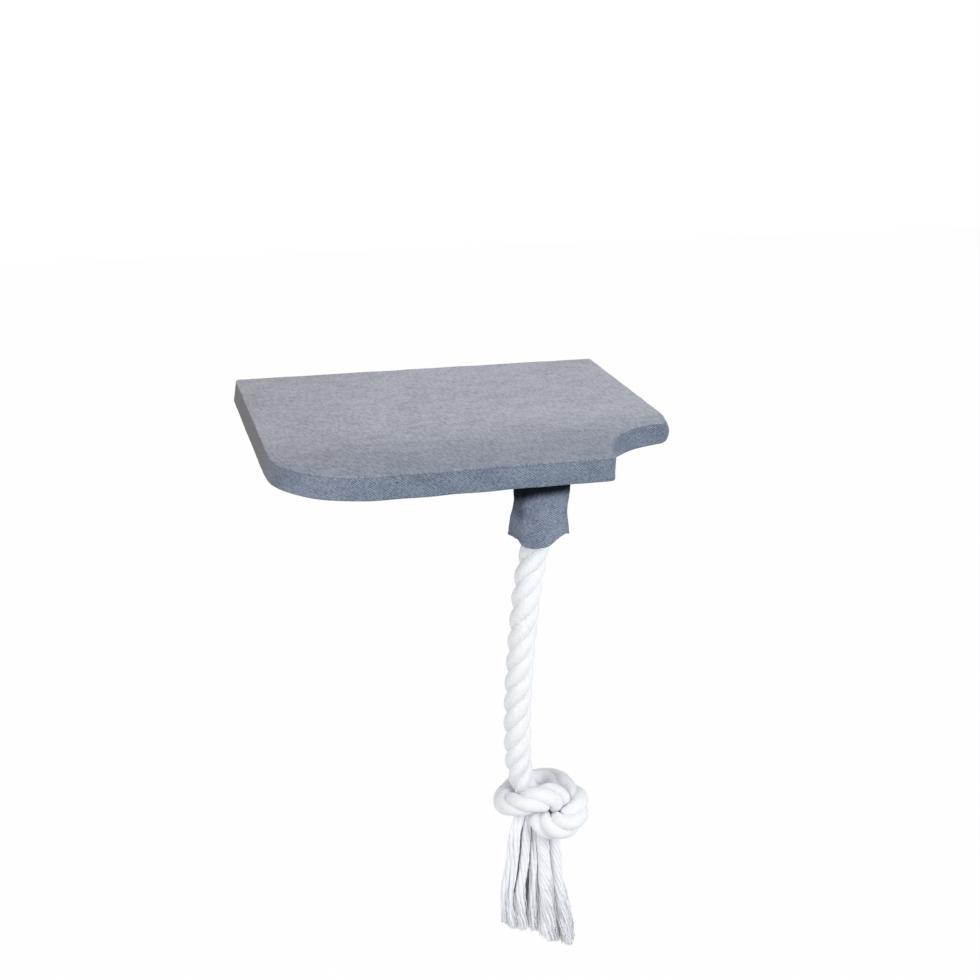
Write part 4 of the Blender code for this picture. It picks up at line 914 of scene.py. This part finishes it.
def specks(f, sheet, cloth, spots):
    """Bits of lint and thread: x, y, radius and colour of each on the flat sheet."""
    for x, y, reach, colour in spots:
        near = f.node("ShaderNodeVectorMath", {"operation": "DISTANCE"}, {0: sheet, 1: (x, y, 0)}, 1)
        cloth = f.mix(1 - near.rise(reach * 0.5, reach), cloth, colour)
    return cloth


# %% [markdown]
# The cuff's cloth is dark where it is tucked in between the board and its block. Three large lamps
# leave that narrow place paler than a real room does. A fourth lamp can't darken it, so the shade is
# painted into the cloth, by object coordinates.

# %% Shade of the tucked cloth
CUFF_Y, FRONT_TO_CUFF, SHADE_SLOPE = -0.28, 0.05, 0.37
DEEP_SHADE, SHADE_EDGE, SHADE_MOST = paint(6, 9, 20), (-0.0140, -0.0035), 0.96
LOWER_LEFT, LOWER_BY, HIGHER_RIGHT, HIGHER_BY = (-0.046, -0.024), 0.0035, (0.048, 0.082), 0.0026
FOLD_SHADE_LEFT, FOLD_SHADE_UP, FOLD_SHADE_MOST = (-0.036, -0.025), (-0.062, -0.046), 0.50


def painted_tuck_shade(f, cloth):
    """Painted shade on the cuff's cloth where it is tucked in under the board, lowest on its left side,
    and in the fold that runs on from there.

    The shade's level falls with the way back from the board's front edge, by SHADE_SLOPE, which is
    how the edge hides it.
    """
    x, y, z = f.parts(f.place())
    off = (y - CUFF_Y).maths("ABSOLUTE", y - CUFF_Y)
    left, right = (x * -1).rise(*LOWER_LEFT), x.rise(*HIGHER_RIGHT)
    below = z - BAND_UNDERSIDE + (FRONT_TO_CUFF - off) * SHADE_SLOPE + left * LOWER_BY - right * HIGHER_BY
    fold = (x * -1).rise(*FOLD_SHADE_LEFT) * z.rise(*FOLD_SHADE_UP) * FOLD_SHADE_MOST
    return f.mix(below.rise(*SHADE_EDGE) * SHADE_MOST, f.mix(fold, cloth, DEEP_SHADE), DEEP_SHADE)


# %% Twill weave
TWILL_GAP, TWILL_LEAN, BRUSHED_LEAN = 0.00178, math.radians(37), math.radians(76)


def slanted(u, v, lean):
    """Two directions on the flat sheet, across and along lines that lean, as u and v are turned."""
    return u * math.sin(lean) + v * math.cos(lean), u * math.cos(lean) - v * math.sin(lean)


def twill(name, dark, light, left_side_shade, sheen, shade_under_board=False, spots=()):
    """Twill cloth: light floats in lines that fall to the right, over a dark ground."""
    f = Finish(name)
    sheet = f.uv()
    u, v, _ = f.parts(sheet)
    across, along = slanted(u, v, TWILL_LEAN)
    wander = f.noise(sheet, 85, 2) - 0.5
    line = (across * (1 / TWILL_GAP) + wander * 1.1).wave()
    dash = f.noise(f.vector(across * (0.8 / TWILL_GAP), along * 290), 1.0, 2, 0.6)
    fuzz = f.noise(sheet, 560, 3, 0.65)
    blotch = f.noise(f.vector(u * 40, v * 70), 1.0, 3, 0.55)
    share = (line * 0.40 + dash * 1.00 + fuzz * 0.95 + blotch * 0.60).rise(0.95, 2.00)
    # Painted light round the band's front left corner.
    cloth = painted_corner_light(f, f.mix(share, dark, light))
    # Painted warm shade on the band's left side.
    cloth = warm_tint_left(f, cloth, left_side_shade, *SIDE_SHADE_SPAN, SIDE_SHADE, "MIX")
    cloth = specks(f, sheet, cloth, spots)
    # Painted shade where the cuff is tucked in under the board.
    cloth = painted_tuck_shade(f, cloth) if shade_under_board else cloth
    return f.done(line * 0.6 + dash * 0.4 + fuzz * 0.25, 0.00045, 0.7, base_color=cloth, roughness=0.95,
                  specular_ior_level=sheen, sheen_weight=sheen, sheen_roughness=0.45)


# %% Brushed twill


def brushed_twill(name, dark, light, front_dark, front_light, crease, spots=()):
    """Brushed twill: a combed nap over steep faint lines, darker towards the front edge, with painted
    shade along a crease, given by its two ends."""
    f = Finish(name)
    sheet = f.uv()
    u, v, _ = f.parts(sheet)
    across, along = slanted(u, v, BRUSHED_LEAN)
    combed = f.noise(f.vector(across * 420, along * 105), 1.0, 2, 0.6)
    nap = f.noise(f.vector(u * 620, v * 240), 1.0, 3, 0.7)
    blotch = f.noise(f.vector(u * 50, v * 62), 1.0, 3, 0.6)
    patch = f.noise(sheet, 14, 2)
    share = (combed * 1.00 + nap * 1.00 + blotch * 0.50 + patch * 0.30).rise(1.02, 1.72)
    # The nap's colours darken towards the front edge.
    towards_front = (v * -1 + (blotch - 0.5) * 0.03).rise(0.18, 0.305)
    cloth = f.mix(share, f.mix(towards_front, dark, front_dark), f.mix(towards_front, light, front_light))
    # Painted shade along the crease.
    (x0, y0), (x1, y1) = crease
    beside = v - y0 - (u - x0) * ((y1 - y0) / (x1 - x0))
    off = beside.maths("ABSOLUTE", beside)
    crease_shade = (1 - off.rise(0.0003, 0.0022)) * u.rise(x0 - 0.004, x0 + 0.010) * (1 - u.rise(x1 - 0.012, x1))
    cloth = f.mix(crease_shade * 0.42, cloth, front_dark)
    # The sitting face is darker and warmer towards the left back.
    cloth = specks(f, sheet, warm_tint_left(f, cloth, 1.0, *FACE_TINT_SPAN, FACE_TINT, "MULTIPLY"), spots)
    return f.done(combed * 0.5 + nap * 0.5 + blotch * 0.3, 0.00050, 0.7, base_color=cloth, roughness=0.95,
                  specular_ior_level=0.12, sheen_weight=0.20, sheen_roughness=0.5)


# %% The three twill finishes
CREASE = ((0.070, -0.2440), (0.135, -0.2500))
FACE_LINT = ((0.1681, -0.1268, 0.0011, paint(205, 172, 140)),)
BAND_LINT = ((0.3999, -0.0072, 0.0011, paint(62, 62, 84)),)
sitting_cloth = brushed_twill("twill_brushed", paint(129, 133, 144), paint(171, 175, 185),
                              paint(98, 105, 121), paint(142, 148, 162), CREASE, FACE_LINT)
band_cloth = twill("twill_band", paint(78, 88, 108), paint(140, 151, 167), 0.85, 0.13, spots=BAND_LINT)
cuff_cloth = twill("twill_cuff", paint(88, 98, 119), paint(151, 161, 179), 0.0, 0.03, shade_under_board=True)
print("twill finishes ready")

# %% [markdown]
# ## Sitting face
# The top cloth is stretched over thin foam, which lets it sink and swell by half a millimetre, and it
# tightens in short puckers towards the seam. A cloth simulation could do that, but a sheet this tight
# hardly moves, and formulas put each swell where it belongs. The grid runs from a middle point that
# sees the whole rim, out to the rim, over a small round and into the seam.

# %% Swells, puckers and the crease
CREASE_FROM, CREASE_TO = np.array(CREASE)
CREASE_DEEP, CREASE_HALF, CREASE_LIP, CREASE_LIP_HALF = 0.0010, 0.0019, 0.4, 0.005
FACE_SWELLS = ((0.00045, 3, 0.07, 0.06), (0.00016, 4, 0.018, 0.016))  # height, seed, sizes along x and y
PUCKER_HIGH, PUCKER_SIZE, PUCKER_REACH = 0.00022, 0.007, 0.010
NOSE_SAG, REAR_DIP, REAR_DIP_X, REAR_DIP_WIDE, REAR_DIP_DEEP = 0.0026, 0.0012, 0.098, 0.014, 0.012
HELD_FROM_RIM, LEAST_SHARE = 0.012, 0.15
RIM_SWELL, RIM_SWELL_SIZE = 0.00018, 0.02


def crease(x, y):
    """Shallow groove along a short line, a narrow bell curve across it, between two low wide lips."""
    run = CREASE_TO - CREASE_FROM
    share = ((x - CREASE_FROM[0]) * run[0] + (y - CREASE_FROM[1]) * run[1]) / (run @ run)
    held = np.clip(share, 0, 1)
    away = np.hypot(x - CREASE_FROM[0] - held * run[0], y - CREASE_FROM[1] - held * run[1])
    lips = CREASE_LIP * CREASE_DEEP * np.exp(-(away / CREASE_LIP_HALF) ** 2)
    return -CREASE_DEEP * np.exp(-(away / CREASE_HALF) ** 2) + lips


def face_level(x, y, from_rim):
    """Height of the stretched cloth about its plane: slow swells, small lumps, edge puckers, the sag
    at the soft nose and a shallow dip in the rear edge."""
    dip = REAR_DIP * np.exp(-((x - REAR_DIP_X) / REAR_DIP_WIDE) ** 2 - (y / REAR_DIP_DEEP) ** 2)
    swelling = sum(high * swell(seed, x / wide, y / deep) for high, seed, wide, deep in FACE_SWELLS)
    puckers = PUCKER_HIGH * swell(5, x / PUCKER_SIZE, y / PUCKER_SIZE)
    free = np.clip(from_rim / HELD_FROM_RIM, LEAST_SHARE, 1)
    return ((swelling + crease(x, y)) * free + puckers * np.exp(-(from_rim / PUCKER_REACH) ** 2)
            - (NOSE_SAG * nose(x, y) + dip))


def rim_level():
    """How far the seam stands above or below its plane, all round: a slow wave less the nose's sag."""
    x, y = rim.T
    return RIM_SWELL * swell(6, x / RIM_SWELL_SIZE, y / RIM_SWELL_SIZE) - NOSE_SAG * nose(x, y)


seam_rise = rim_level()
print(f"the seam stands {seam_rise.min() * 1000:.2f} to {seam_rise.max() * 1000:.2f} mm above its plane")

# %% Points of the top cloth
FACE_MIDDLE, FACE_PLANE = np.array([-0.02, -0.15]), BOARD_TOP - 0.0002
FACE_ROWS, RIM_START, NOSE_TUCK = 40, 0.008, 0.0030
TOP_ROUND, SEAM_BELOW_TOP, INTO_SEAM = 0.0013, 0.0016, 0.0002
ROUND_ANGLES, UPRIGHT = np.radians([18, 36, 54, 72, 90, 112, 140]), 1.6


def top_cloth():
    """Points and flat sheet of the top cloth, from its middle to the seam."""
    inner = board_outline(RIM_START)
    share = np.linspace(0, 1, FACE_ROWS + 1)[1:, None, None]
    flat = FACE_MIDDLE + (inner - FACE_MIDDLE) * share
    from_rim = RIM_START + (1 - share[..., 0]) * np.linalg.norm(inner - FACE_MIDDLE, axis=1)
    level = face_level(flat[..., 0], flat[..., 1], from_rim)
    rows = [np.dstack([flat, FACE_PLANE + level])]
    for inset in np.linspace(RIM_START, TOP_ROUND, 6)[1:]:
        edge = board_outline(inset)
        level = face_level(edge[:, 0], edge[:, 1], np.full(len(edge), inset))
        edge = edge - outward * (NOSE_TUCK * nose(*edge.T) * (1 - inset / RIM_START))[:, None]
        rows.append(np.column_stack([edge, FACE_PLANE + level])[None])
    for angle in ROUND_ANGLES:
        over = angle < UPRIGHT
        edge = board_outline(TOP_ROUND * (1 - math.sin(angle)) + (0 if over else INTO_SEAM))
        edge = edge - outward * (NOSE_TUCK * nose(*rim.T))[:, None]
        drop = TOP_ROUND * (1 - math.cos(angle)) if over else SEAM_BELOW_TOP
        rows.append(np.column_stack([edge, FACE_PLANE - drop + seam_rise])[None])
    points = np.concatenate(rows)
    return points, np.concatenate([points, points[:, :1]], axis=1)[..., :2]


# %% Top cloth


def hub(rows):
    """Triangles round a face's middle, whose point follows all the rows: on the mesh and the sheet."""
    column = np.arange(COLUMNS)
    pole = column * 0 + rows * COLUMNS
    return (np.stack([pole, column, (column + 1) % COLUMNS], 1),
            np.stack([pole + rows, column, column + 1], 1))


top_points, top_sheet = top_cloth()
faces, flat = quads(len(top_points), COLUMNS, True)
middle_faces, middle_flat = hub(len(top_points))
top = add_piece("sitting_cloth",
                np.concatenate([top_points.reshape(-1, 3), [[*FACE_MIDDLE, FACE_PLANE]]]),
                [faces[:, ::-1], middle_faces], sitting_cloth,
                np.concatenate([top_sheet.reshape(-1, 2), FACE_MIDDLE[None]]), [flat[:, ::-1], middle_flat])

# %% [markdown]
# ## Band
# The band goes round the board's edge, folds under it and is stapled to the underside. On the
# straight edges it lies flat, and only the left side leans out a little at its foot; at the round
# corner its spare length is taken up in pleats. It is the outline again, row by row, with a new
# inset and level for each row, so it meets the sitting face at the seam all the way round.

# %% Rows of the band
BAND_FOLD, TURN_IN, WALL_ROWS, FOLD_STEPS, TURN_IN_ROWS = 0.0026, 0.0285, 10, 6, 12
SEAM_ROWS = ((0.0010, 0.0004), (0.0004, 0.0002), (0.0, -0.0004), (0.0, -0.0018))  # inset, above the seam


def band_rows():
    """Inset and level of the band's rows: out of the seam, down the wall, round the fold, inwards."""
    seam = FACE_PLANE - SEAM_BELOW_TOP
    rows = [(inset, seam + above) for inset, above in SEAM_ROWS[:-1]]
    for level in np.linspace(seam + SEAM_ROWS[-1][1], BAND_UNDERSIDE + BAND_FOLD, WALL_ROWS):
        rows.append((0.0, level))
    for angle in np.radians(np.linspace(0, 90, FOLD_STEPS + 1)[1:]):
        rows.append((BAND_FOLD * (1 - math.cos(angle)), BAND_UNDERSIDE + BAND_FOLD * (1 - math.sin(angle))))
    for inset in np.linspace(BAND_FOLD, TURN_IN, TURN_IN_ROWS + 1)[1:]:
        rows.append((inset, BAND_UNDERSIDE))
    return rows


print(len(band_rows()), "rows from the seam to the turned-in margin")

# %% Points of the band
BAND_INSIDE, NOSE_BULGE = 0.0004, 0.0024
PLEATS, PLEAT_DEEP, PLEATS_END = 10, 0.0011, 0.0128
PLEAT_FADE, UNDER_SAG = 0.004, 0.00035
LEFT_LEAN, LEAN_FROM_Y, LEAN_GROWS_OVER, NOSE_FOOT = 0.0038, -0.30, 0.06, 0.0016
BAND_WAVES = ((0.00030, 8, 0.028, 0.02), (0.00012, 9, 0.008, 0.01))  # height, seed, sizes round and down
HELD_BELOW_TOP, HELD_SHARE = 0.006, 0.25


def band_cloth_points():
    """Points and flat sheet of the band.

    Each row is the outline at its inset and level, moved out and in by a slow wave. The left side
    leans out at its foot. Under the round corner the level drops in pleats, a row of half sine waves
    that ends where the lining begins.
    """
    rows, sheet, run, before = [], [], 0.0, None
    corner_from, corner_to = EDGE_COLUMNS[0] + EDGE_COLUMNS[1], sum(EDGE_COLUMNS[:3])
    in_corner = np.clip((np.arange(COLUMNS) - corner_from) / (corner_to - corner_from), 0, 1)
    fold = np.abs(np.sin(in_corner * math.pi * PLEATS)) * (np.sin(in_corner * math.pi) > 0)
    x, y = rim[:, 0], rim[:, 1]
    for inset, level in band_rows():
        under = np.clip((inset - BAND_FOLD) / (TURN_IN - BAND_FOLD), 0, 1)
        wave = sum(high * swell(seed, x / size, y / size, np.full(COLUMNS, level / down))
                   for high, seed, size, down in BAND_WAVES)
        free = 1.0 if level < BOARD_TOP - HELD_BELOW_TOP else HELD_SHARE
        edge = board_outline(inset + BAND_INSIDE if inset < BAND_FOLD else inset)
        sag = -UNDER_SAG * np.clip(swell(10, x / 0.02, y / 0.02), -1, 1) * (level < -0.004)
        height = np.clip((level - BAND_UNDERSIDE) / (BOARD_TOP - BAND_UNDERSIDE), 0, 1)
        sag = sag + seam_rise * height ** 1.5
        bulge = nose(x, y) * (NOSE_BULGE * math.sin(math.pi * height) ** 0.7 - NOSE_TUCK * height ** 4
                              - NOSE_FOOT * (1 - height) ** 3)
        on_left = np.clip((y - LEAN_FROM_Y) / LEAN_GROWS_OVER, 0, 1) * np.clip(-outward[:, 0], 0, 1)
        lean = LEFT_LEAN * (1 - height) * on_left
        pleated = under ** 0.6 * np.clip((PLEATS_END - inset) / PLEAT_FADE, 0, 1)
        edge = edge + (outward * (wave * free + bulge)[:, None] - np.outer(lean, (1, 0))) * (under == 0)
        rows.append(np.column_stack([edge, level + sag - PLEAT_DEEP * fold * pleated]))
        run += math.dist(before or (inset, level), (inset, level))
        before = (inset, level)
        sheet.append(np.column_stack([rim_along, np.full(COLUMNS + 1, -run)]))
    return np.stack(rows), np.stack(sheet)


# %% Band cloth
band_points, band_sheet = band_cloth_points()
faces, flat = quads(len(band_points), COLUMNS, True)
band = add_piece("band_cloth", band_points, [faces[:, ::-1]], band_cloth, band_sheet, [flat[:, ::-1]])

# %% [markdown]
# Both cloths are still without thickness. Solidify gives it to them inwards, so that their outsides
# stay where they were drawn.

# %% Thickness of the cloths
CLOTH_THICK, BAND_THICK = 0.0012, 0.00096


def thicken(piece, thick):
    """Give a sheet its thickness, on the side away from its normals."""
    wall = piece.modifiers.new("thickness", "SOLIDIFY")
    wall.thickness = thick
    wall.offset = -1
    wall.use_rim = True


thicken(top, CLOTH_THICK)
thicken(band, BAND_THICK)
settle(top, "platform", "cover_sitting_face", "cover_top_panel")
settle(band, "platform", "cover_band", "cover_side_band")

# %% [markdown]
# ## Cuff
# The cuff is a sleeve of the band's twill, fixed round a wooden disc under the board, open below.
# It has a seam on each side. The left one stands out into a sharp corner at the hem, and a crease
# runs down from the top beside it. The hem hangs lowest in front and rises at the right. A simulated
# sleeve would fold anywhere, so this one is a cylinder whose radius gets a bump for each real fold.

# %% Folds and hem of the cuff
CUFF_RADIUS, CUFF_DROP, CUFF_ROWS, CUFF_COLUMNS = 0.0270, 0.0662, 64, 220
CUFF_MIDDLE = np.array([0.0528, CUFF_Y])
CUFF_FLARE, CUFF_SWELL, CUFF_LUMPS, HEM_OUT, HEM_SWELL = 0.0002, 0.00035, 0.00014, 0.0004, 0.0003
LEFT_SEAM_OUT, SEAM_CREASE_DEEP, SEAM_POUCH_OUT, RIGHT_SEAM_OUT = 0.0034, 0.0013, 0.0006, 0.0007
LEFT_SEAM, SEAM_CREASE, SEAM_POUCH, RIGHT_SEAM = (168, 13), (197, 12), (217, 9), (-17, 8)  # angle, width
CUFF_FOLDS = [  # outwards in mm, angle, width, lean in degrees, middle and half length down in shares
    (-3.4, 203, 6, 9, 0.48, 0.12), (1.4, 216, 8, 9, 0.50, 0.14), (-2.6, 166, 30, 0, 0.47, 0.22),
    (-2.2, -20, 20, 0, 0.62, 0.22), (0.5, -24, 20, 0, 0.22, 0.16), (0.7, 243, 20, 0, 0.22, 0.08),
    (-0.6, 250, 24, 0, 0.34, 0.06),
]
HEM_ANGLES = [0, 60, 120, 155, 175, 202, 212, 225, 250, 272, 286, 300, 312, 328, 338, 350, 360]
HEM_DIPS = [-0.5, 0.0, 0.0, 0.0, -2.0, -2.4, 0.5, 3.2, 2.8, 0.5, -3.8, -7.0, -7.6, -6.2, -3.0, -1.0,
            -0.5]  # mm down at those angles


def bump_at(angle, centre, width):
    """1 at an angle round the cuff and 0 away from it, in degrees, across the seam of the circle."""
    away = (np.degrees(angle) - centre + 180) % 360 - 180
    return np.exp(-(away / width) ** 2)


def cuff_points():
    """Radius and level of the cuff's cloth over its angle and its share of the way down.

    To a plain sleeve's radius come bumps round and down for its folds, the left seam that stands out
    ever more towards the hem, the crease beside it, slow swells and the hem's thick edge.
    """
    angle = np.linspace(0, 2 * math.pi, CUFF_COLUMNS, endpoint=False)[None, :]
    down = np.linspace(0, 1, CUFF_ROWS)[:, None]
    radius = CUFF_RADIUS + CUFF_FLARE * down
    radius = radius + LEFT_SEAM_OUT * bump_at(angle, *LEFT_SEAM) * down ** 1.2
    creased = np.sin(math.pi * np.clip(down * 1.15, 0, 1)) ** 0.6
    radius = radius - SEAM_CREASE_DEEP * bump_at(angle, *SEAM_CREASE) * creased
    radius = radius + SEAM_POUCH_OUT * bump_at(angle, *SEAM_POUCH) * down
    radius = radius + RIGHT_SEAM_OUT * bump_at(angle, *RIGHT_SEAM) * down ** 4
    for out, centre, width, lean, middle, length in CUFF_FOLDS:
        round_here = bump_at(angle, centre + lean * (down - 0.5), width)
        radius = radius + out * MM * round_here * np.exp(-((down - middle) / length) ** 2)
    slow = CUFF_SWELL * swell(12, np.cos(angle) * 2.2, np.sin(angle) * 2.2, down * 2.5)
    radius = radius + slow * (0.3 + down)
    radius = radius + CUFF_LUMPS * swell(13, np.cos(angle) * 7, np.sin(angle) * 7, down * 9)
    radius = radius + HEM_OUT * np.exp(-((down - 0.985) / 0.02) ** 2)
    dip = np.interp(np.degrees(angle), HEM_ANGLES, HEM_DIPS) * MM + HEM_SWELL * swell(
        14, np.cos(angle) * 3, np.sin(angle) * 3)
    level = FIXING_PLANE - 0.0001 - down * CUFF_DROP - dip * down ** 3
    points = np.stack([CUFF_MIDDLE[0] + radius * np.cos(angle), CUFF_MIDDLE[1] + radius * np.sin(angle),
                       level], -1)
    edge = np.linspace(0, 2 * math.pi, CUFF_COLUMNS + 1) * CUFF_RADIUS
    sheet = np.stack(np.broadcast_arrays(edge[None], -down * CUFF_DROP), -1)
    return points, sheet


# %% Cuff cloth
CUFF_THICK, CUFF_CUT = 0.0013, (0.172, 0.068)
points, sheet = cuff_points()
faces, flat = quads(CUFF_ROWS, CUFF_COLUMNS, True)
cuff = add_piece("cuff_cloth", points, [faces[:, ::-1]], cuff_cloth, sheet, [flat[:, ::-1]])
thicken(cuff, CUFF_THICK)
settle(cuff, "platform", "cover_band", "cuff")

# %% [markdown]
# ## Foam and lining
# The foam under the sitting face is a thin pad with soft edges. The lining closes the underside: a
# thin black cloth whose margin is stapled over the turned-in band. Both are rings of the outline,
# drawn in towards the same middle point as the sitting face.

# %% Points of the foam pad
FOAM_TOP, FOAM_THICK, FOAM_EDGE = 0.01065, 0.005, 0.0016
FOAM_INSET, FOAM_FLAT_INSET, FOAM_PRESSED = 0.0015, 0.02, 0.004
FOAM_SHARES = (0.25, 0.5, 0.75, 1.0)


def foam_points():
    """A flat pad whose edge is a half ellipse, from the middle above to the middle below.

    At the board's nose its edge is pulled in and its upper part sinks, a little more than the cloth.
    """
    rows = [(FOAM_FLAT_INSET, share, FOAM_TOP) for share in FOAM_SHARES]
    for angle in np.radians(np.linspace(90, -90, 9)):
        rows.append((FOAM_INSET + FOAM_EDGE * (1 - math.cos(angle)), 1.0,
                     FOAM_TOP - FOAM_THICK / 2 + FOAM_THICK / 2 * math.sin(angle)))
    rows += [(FOAM_FLAT_INSET, share, FOAM_TOP - FOAM_THICK) for share in FOAM_SHARES[::-1]]
    rings = []
    for inset, share, level in rows:
        edge = FACE_MIDDLE + (board_outline(inset) - FACE_MIDDLE) * share
        pressed = nose(*edge.T)
        edge = edge - outward * (1.3 * NOSE_TUCK * pressed)[:, None]
        sunk = 1.1 * NOSE_SAG * pressed * (level > FOAM_TOP - FOAM_PRESSED)
        rings.append(np.column_stack([edge, level - sunk]))
    return np.stack(rings)


# %% Foam's cells, and the pad made
points = foam_points()
faces, _ = quads(len(points), COLUMNS, True)
poles = [[*FACE_MIDDLE, FOAM_TOP], [*FACE_MIDDLE, FOAM_TOP - FOAM_THICK]]
foam_finish = Finish("foam_cells")
cells = foam_finish.node("ShaderNodeTexVoronoi", {"feature": "DISTANCE_TO_EDGE"},
                         {"Vector": foam_finish.place(), "Scale": 900})
foam_material = foam_finish.done(cells, 0.0003, 0.8, roughness=0.95,
                                 base_color=foam_finish.mix(cells.rise(0, 0.25), paint(188, 178, 140),
                                                            paint(232, 224, 196)))
foam = add_piece("foam_sheet", np.concatenate([points.reshape(-1, 3), poles]),
                 [faces[:, ::-1], ends(len(points), COLUMNS)[:, ::-1]], foam_material)
settle(foam, "platform", "foam", "foam_pad")

# %% Lining
LINING_INSET, LINING_ROWS, LINING_THICK = 0.0135, 30, 0.0005
LINING_PLANE = LINING_UNDERSIDE + 0.0001
lining_finish = Finish("lining_cloth")
felt = lining_finish.noise(lining_finish.place(), 700, 4, 0.65)
dots = lining_finish.node("ShaderNodeTexVoronoi", None, {"Vector": lining_finish.place(), "Scale": 620})
lining_material = lining_finish.done(
    felt * 0.6 + dots * 0.4, 0.00025, 0.8, roughness=0.85, specular_ior_level=0.25,
    base_color=lining_finish.mix((felt * 0.7 + dots * 0.5).rise(0.25, 0.85), paint(34, 34, 37),
                                 paint(62, 62, 66)))
share = np.linspace(0, 1, LINING_ROWS + 1)[1:, None, None]
spread = FACE_MIDDLE + (board_outline(LINING_INSET) - FACE_MIDDLE) * share
level = LINING_PLANE + 0.00009 * swell(15, spread[..., 0] / 0.02, spread[..., 1] / 0.03)
points = np.concatenate([np.dstack([spread, level]).reshape(-1, 3), [[*FACE_MIDDLE, LINING_PLANE]]])
lining = add_piece("lining_sheet", points,
                   [quads(LINING_ROWS, COLUMNS, True)[0], hub(LINING_ROWS)[0][:, [0, 2, 1]]], lining_material)
thicken(lining, LINING_THICK)
settle(lining, "platform", "lining", "underside_lining")

# %% [markdown]
# ## Finishes of the CAD parts
# The brackets are bent from steel bar and painted black, the fixings are zinc plated, and the block
# and the board's core are birch plywood, with their layers on edge. The CAD meshes have no flat
# sheet, so these finishes read the place in the object.

# %% Paint, zinc and plywood
paint_finish = Finish("bracket_paint")
grain = paint_finish.noise(paint_finish.place(), 1400, 3, 0.6)
rubbed = paint_finish.noise(paint_finish.place(), 45, 4, 0.6)
bracket_paint = paint_finish.done(
    grain, 0.00012, 0.5, base_color=paint_finish.mix(rubbed, paint(24, 24, 26), paint(38, 38, 41)),
    roughness=grain * 0.2 + 0.36, specular_ior_level=0.5)

zinc_finish = Finish("zinc_plated_steel")
spangle = zinc_finish.noise(zinc_finish.place(), 320, 3, 0.6)
scratch = zinc_finish.noise(zinc_finish.place(), 1800, 2, 0.5)
zinc = zinc_finish.done(
    spangle * 0.6 + scratch * 0.4, 0.00006, 0.6, metallic=1.0,
    base_color=zinc_finish.mix(spangle, paint(176, 178, 180), paint(214, 215, 214)),
    roughness=spangle * 0.22 + 0.22)

ply_finish = Finish("birch_plywood")
x, y, z = ply_finish.parts(ply_finish.place())
rings_noise = ply_finish.noise(ply_finish.vector(x * 12, y * 160, z * 160), 1.0, 4, 0.6)
layer = (z * (1 / 0.0030)).wave().rise(0.42, 0.58)
plywood = ply_finish.done(
    rings_noise * 0.5 + layer * 0.5, 0.0002, 0.5, roughness=0.7, specular_ior_level=0.3,
    base_color=ply_finish.mix(layer, ply_finish.mix(rings_noise, paint(166, 128, 84), paint(196, 160, 112)),
                              ply_finish.mix(rings_noise, paint(208, 178, 132), paint(226, 200, 158))))

FINISHED = [(zinc, ("bracket_screw", "block_screw", "eye_bolt", "tee_nut", "rope_link", "rope_cap")),
            (bracket_paint, ("bracket_left", "bracket_right")), (plywood, ("core_board", "cuff_block"))]
for finish, beginnings in FINISHED:
    for name in [name for name in nodes if name.startswith(beginnings)]:
        nodes[name].data.materials.clear()
        nodes[name].data.materials.append(finish)
        print(name, "is finished with", finish.name)

# %% [markdown]
# ## Staples
# Staples hold the band and the lining under the board. The CAD model leaves them out, being so small
# and so many, but the underside would look unfinished without them. Each is one bent wire, so all of
# them are one piece of short tubes, set along the outline and left out where a bracket lies.

# %% Staples
STAPLE_SPAN, STAPLE_WIRE, STAPLE_INSET, STAPLE_STEP, WIRE_SIDES = 0.010, 0.0009, 0.0195, 0.034, 6
STAPLE_ACROSS = np.array([-0.5, -0.5, -0.46, -0.2, 0.2, 0.46, 0.5, 0.5]) * STAPLE_SPAN
STAPLE_RISE = np.array([4.0, 0.4, -0.3, -0.4, -0.4, -0.3, 0.4, 4.0]) * MM
BRACKET_X, BRACKET_CLEAR, BRACKET_END = 0.125, 0.024, -0.215


def staple_lines():
    """Middle lines of the staples' crowns and legs, set along a line inside the rim.

    A staple stands at each step of the way round, turned along the line, unless a bracket is there.
    """
    edge = board_outline(STAPLE_INSET)
    run, closed = way_round(edge), np.vstack([edge, edge[:1]])
    at = np.arange(STAPLE_STEP / 2, run[-1], STAPLE_STEP)
    place, ahead = [np.stack([np.interp(at + on, run, closed[:, k]) for k in (0, 1)], 1) for on in (0, MM)]
    clear = (np.abs(np.abs(place[:, 0]) - BRACKET_X) > BRACKET_CLEAR) | (place[:, 1] < BRACKET_END)
    place, ahead = place[clear], ahead[clear]
    lines = place[:, None] + STAPLE_ACROSS[None, :, None] * unit(ahead - place)[:, None]
    return np.dstack([lines, np.broadcast_to(LINING_UNDERSIDE + STAPLE_RISE, lines.shape[:2])])


lines = staple_lines()
print(len(lines), "staples")
staples = tube_piece("lining_staples", lines, np.full(lines.shape[:2], STAPLE_WIRE / 2), WIRE_SIDES, zinc)
settle(staples, "platform", "zinc_steel")
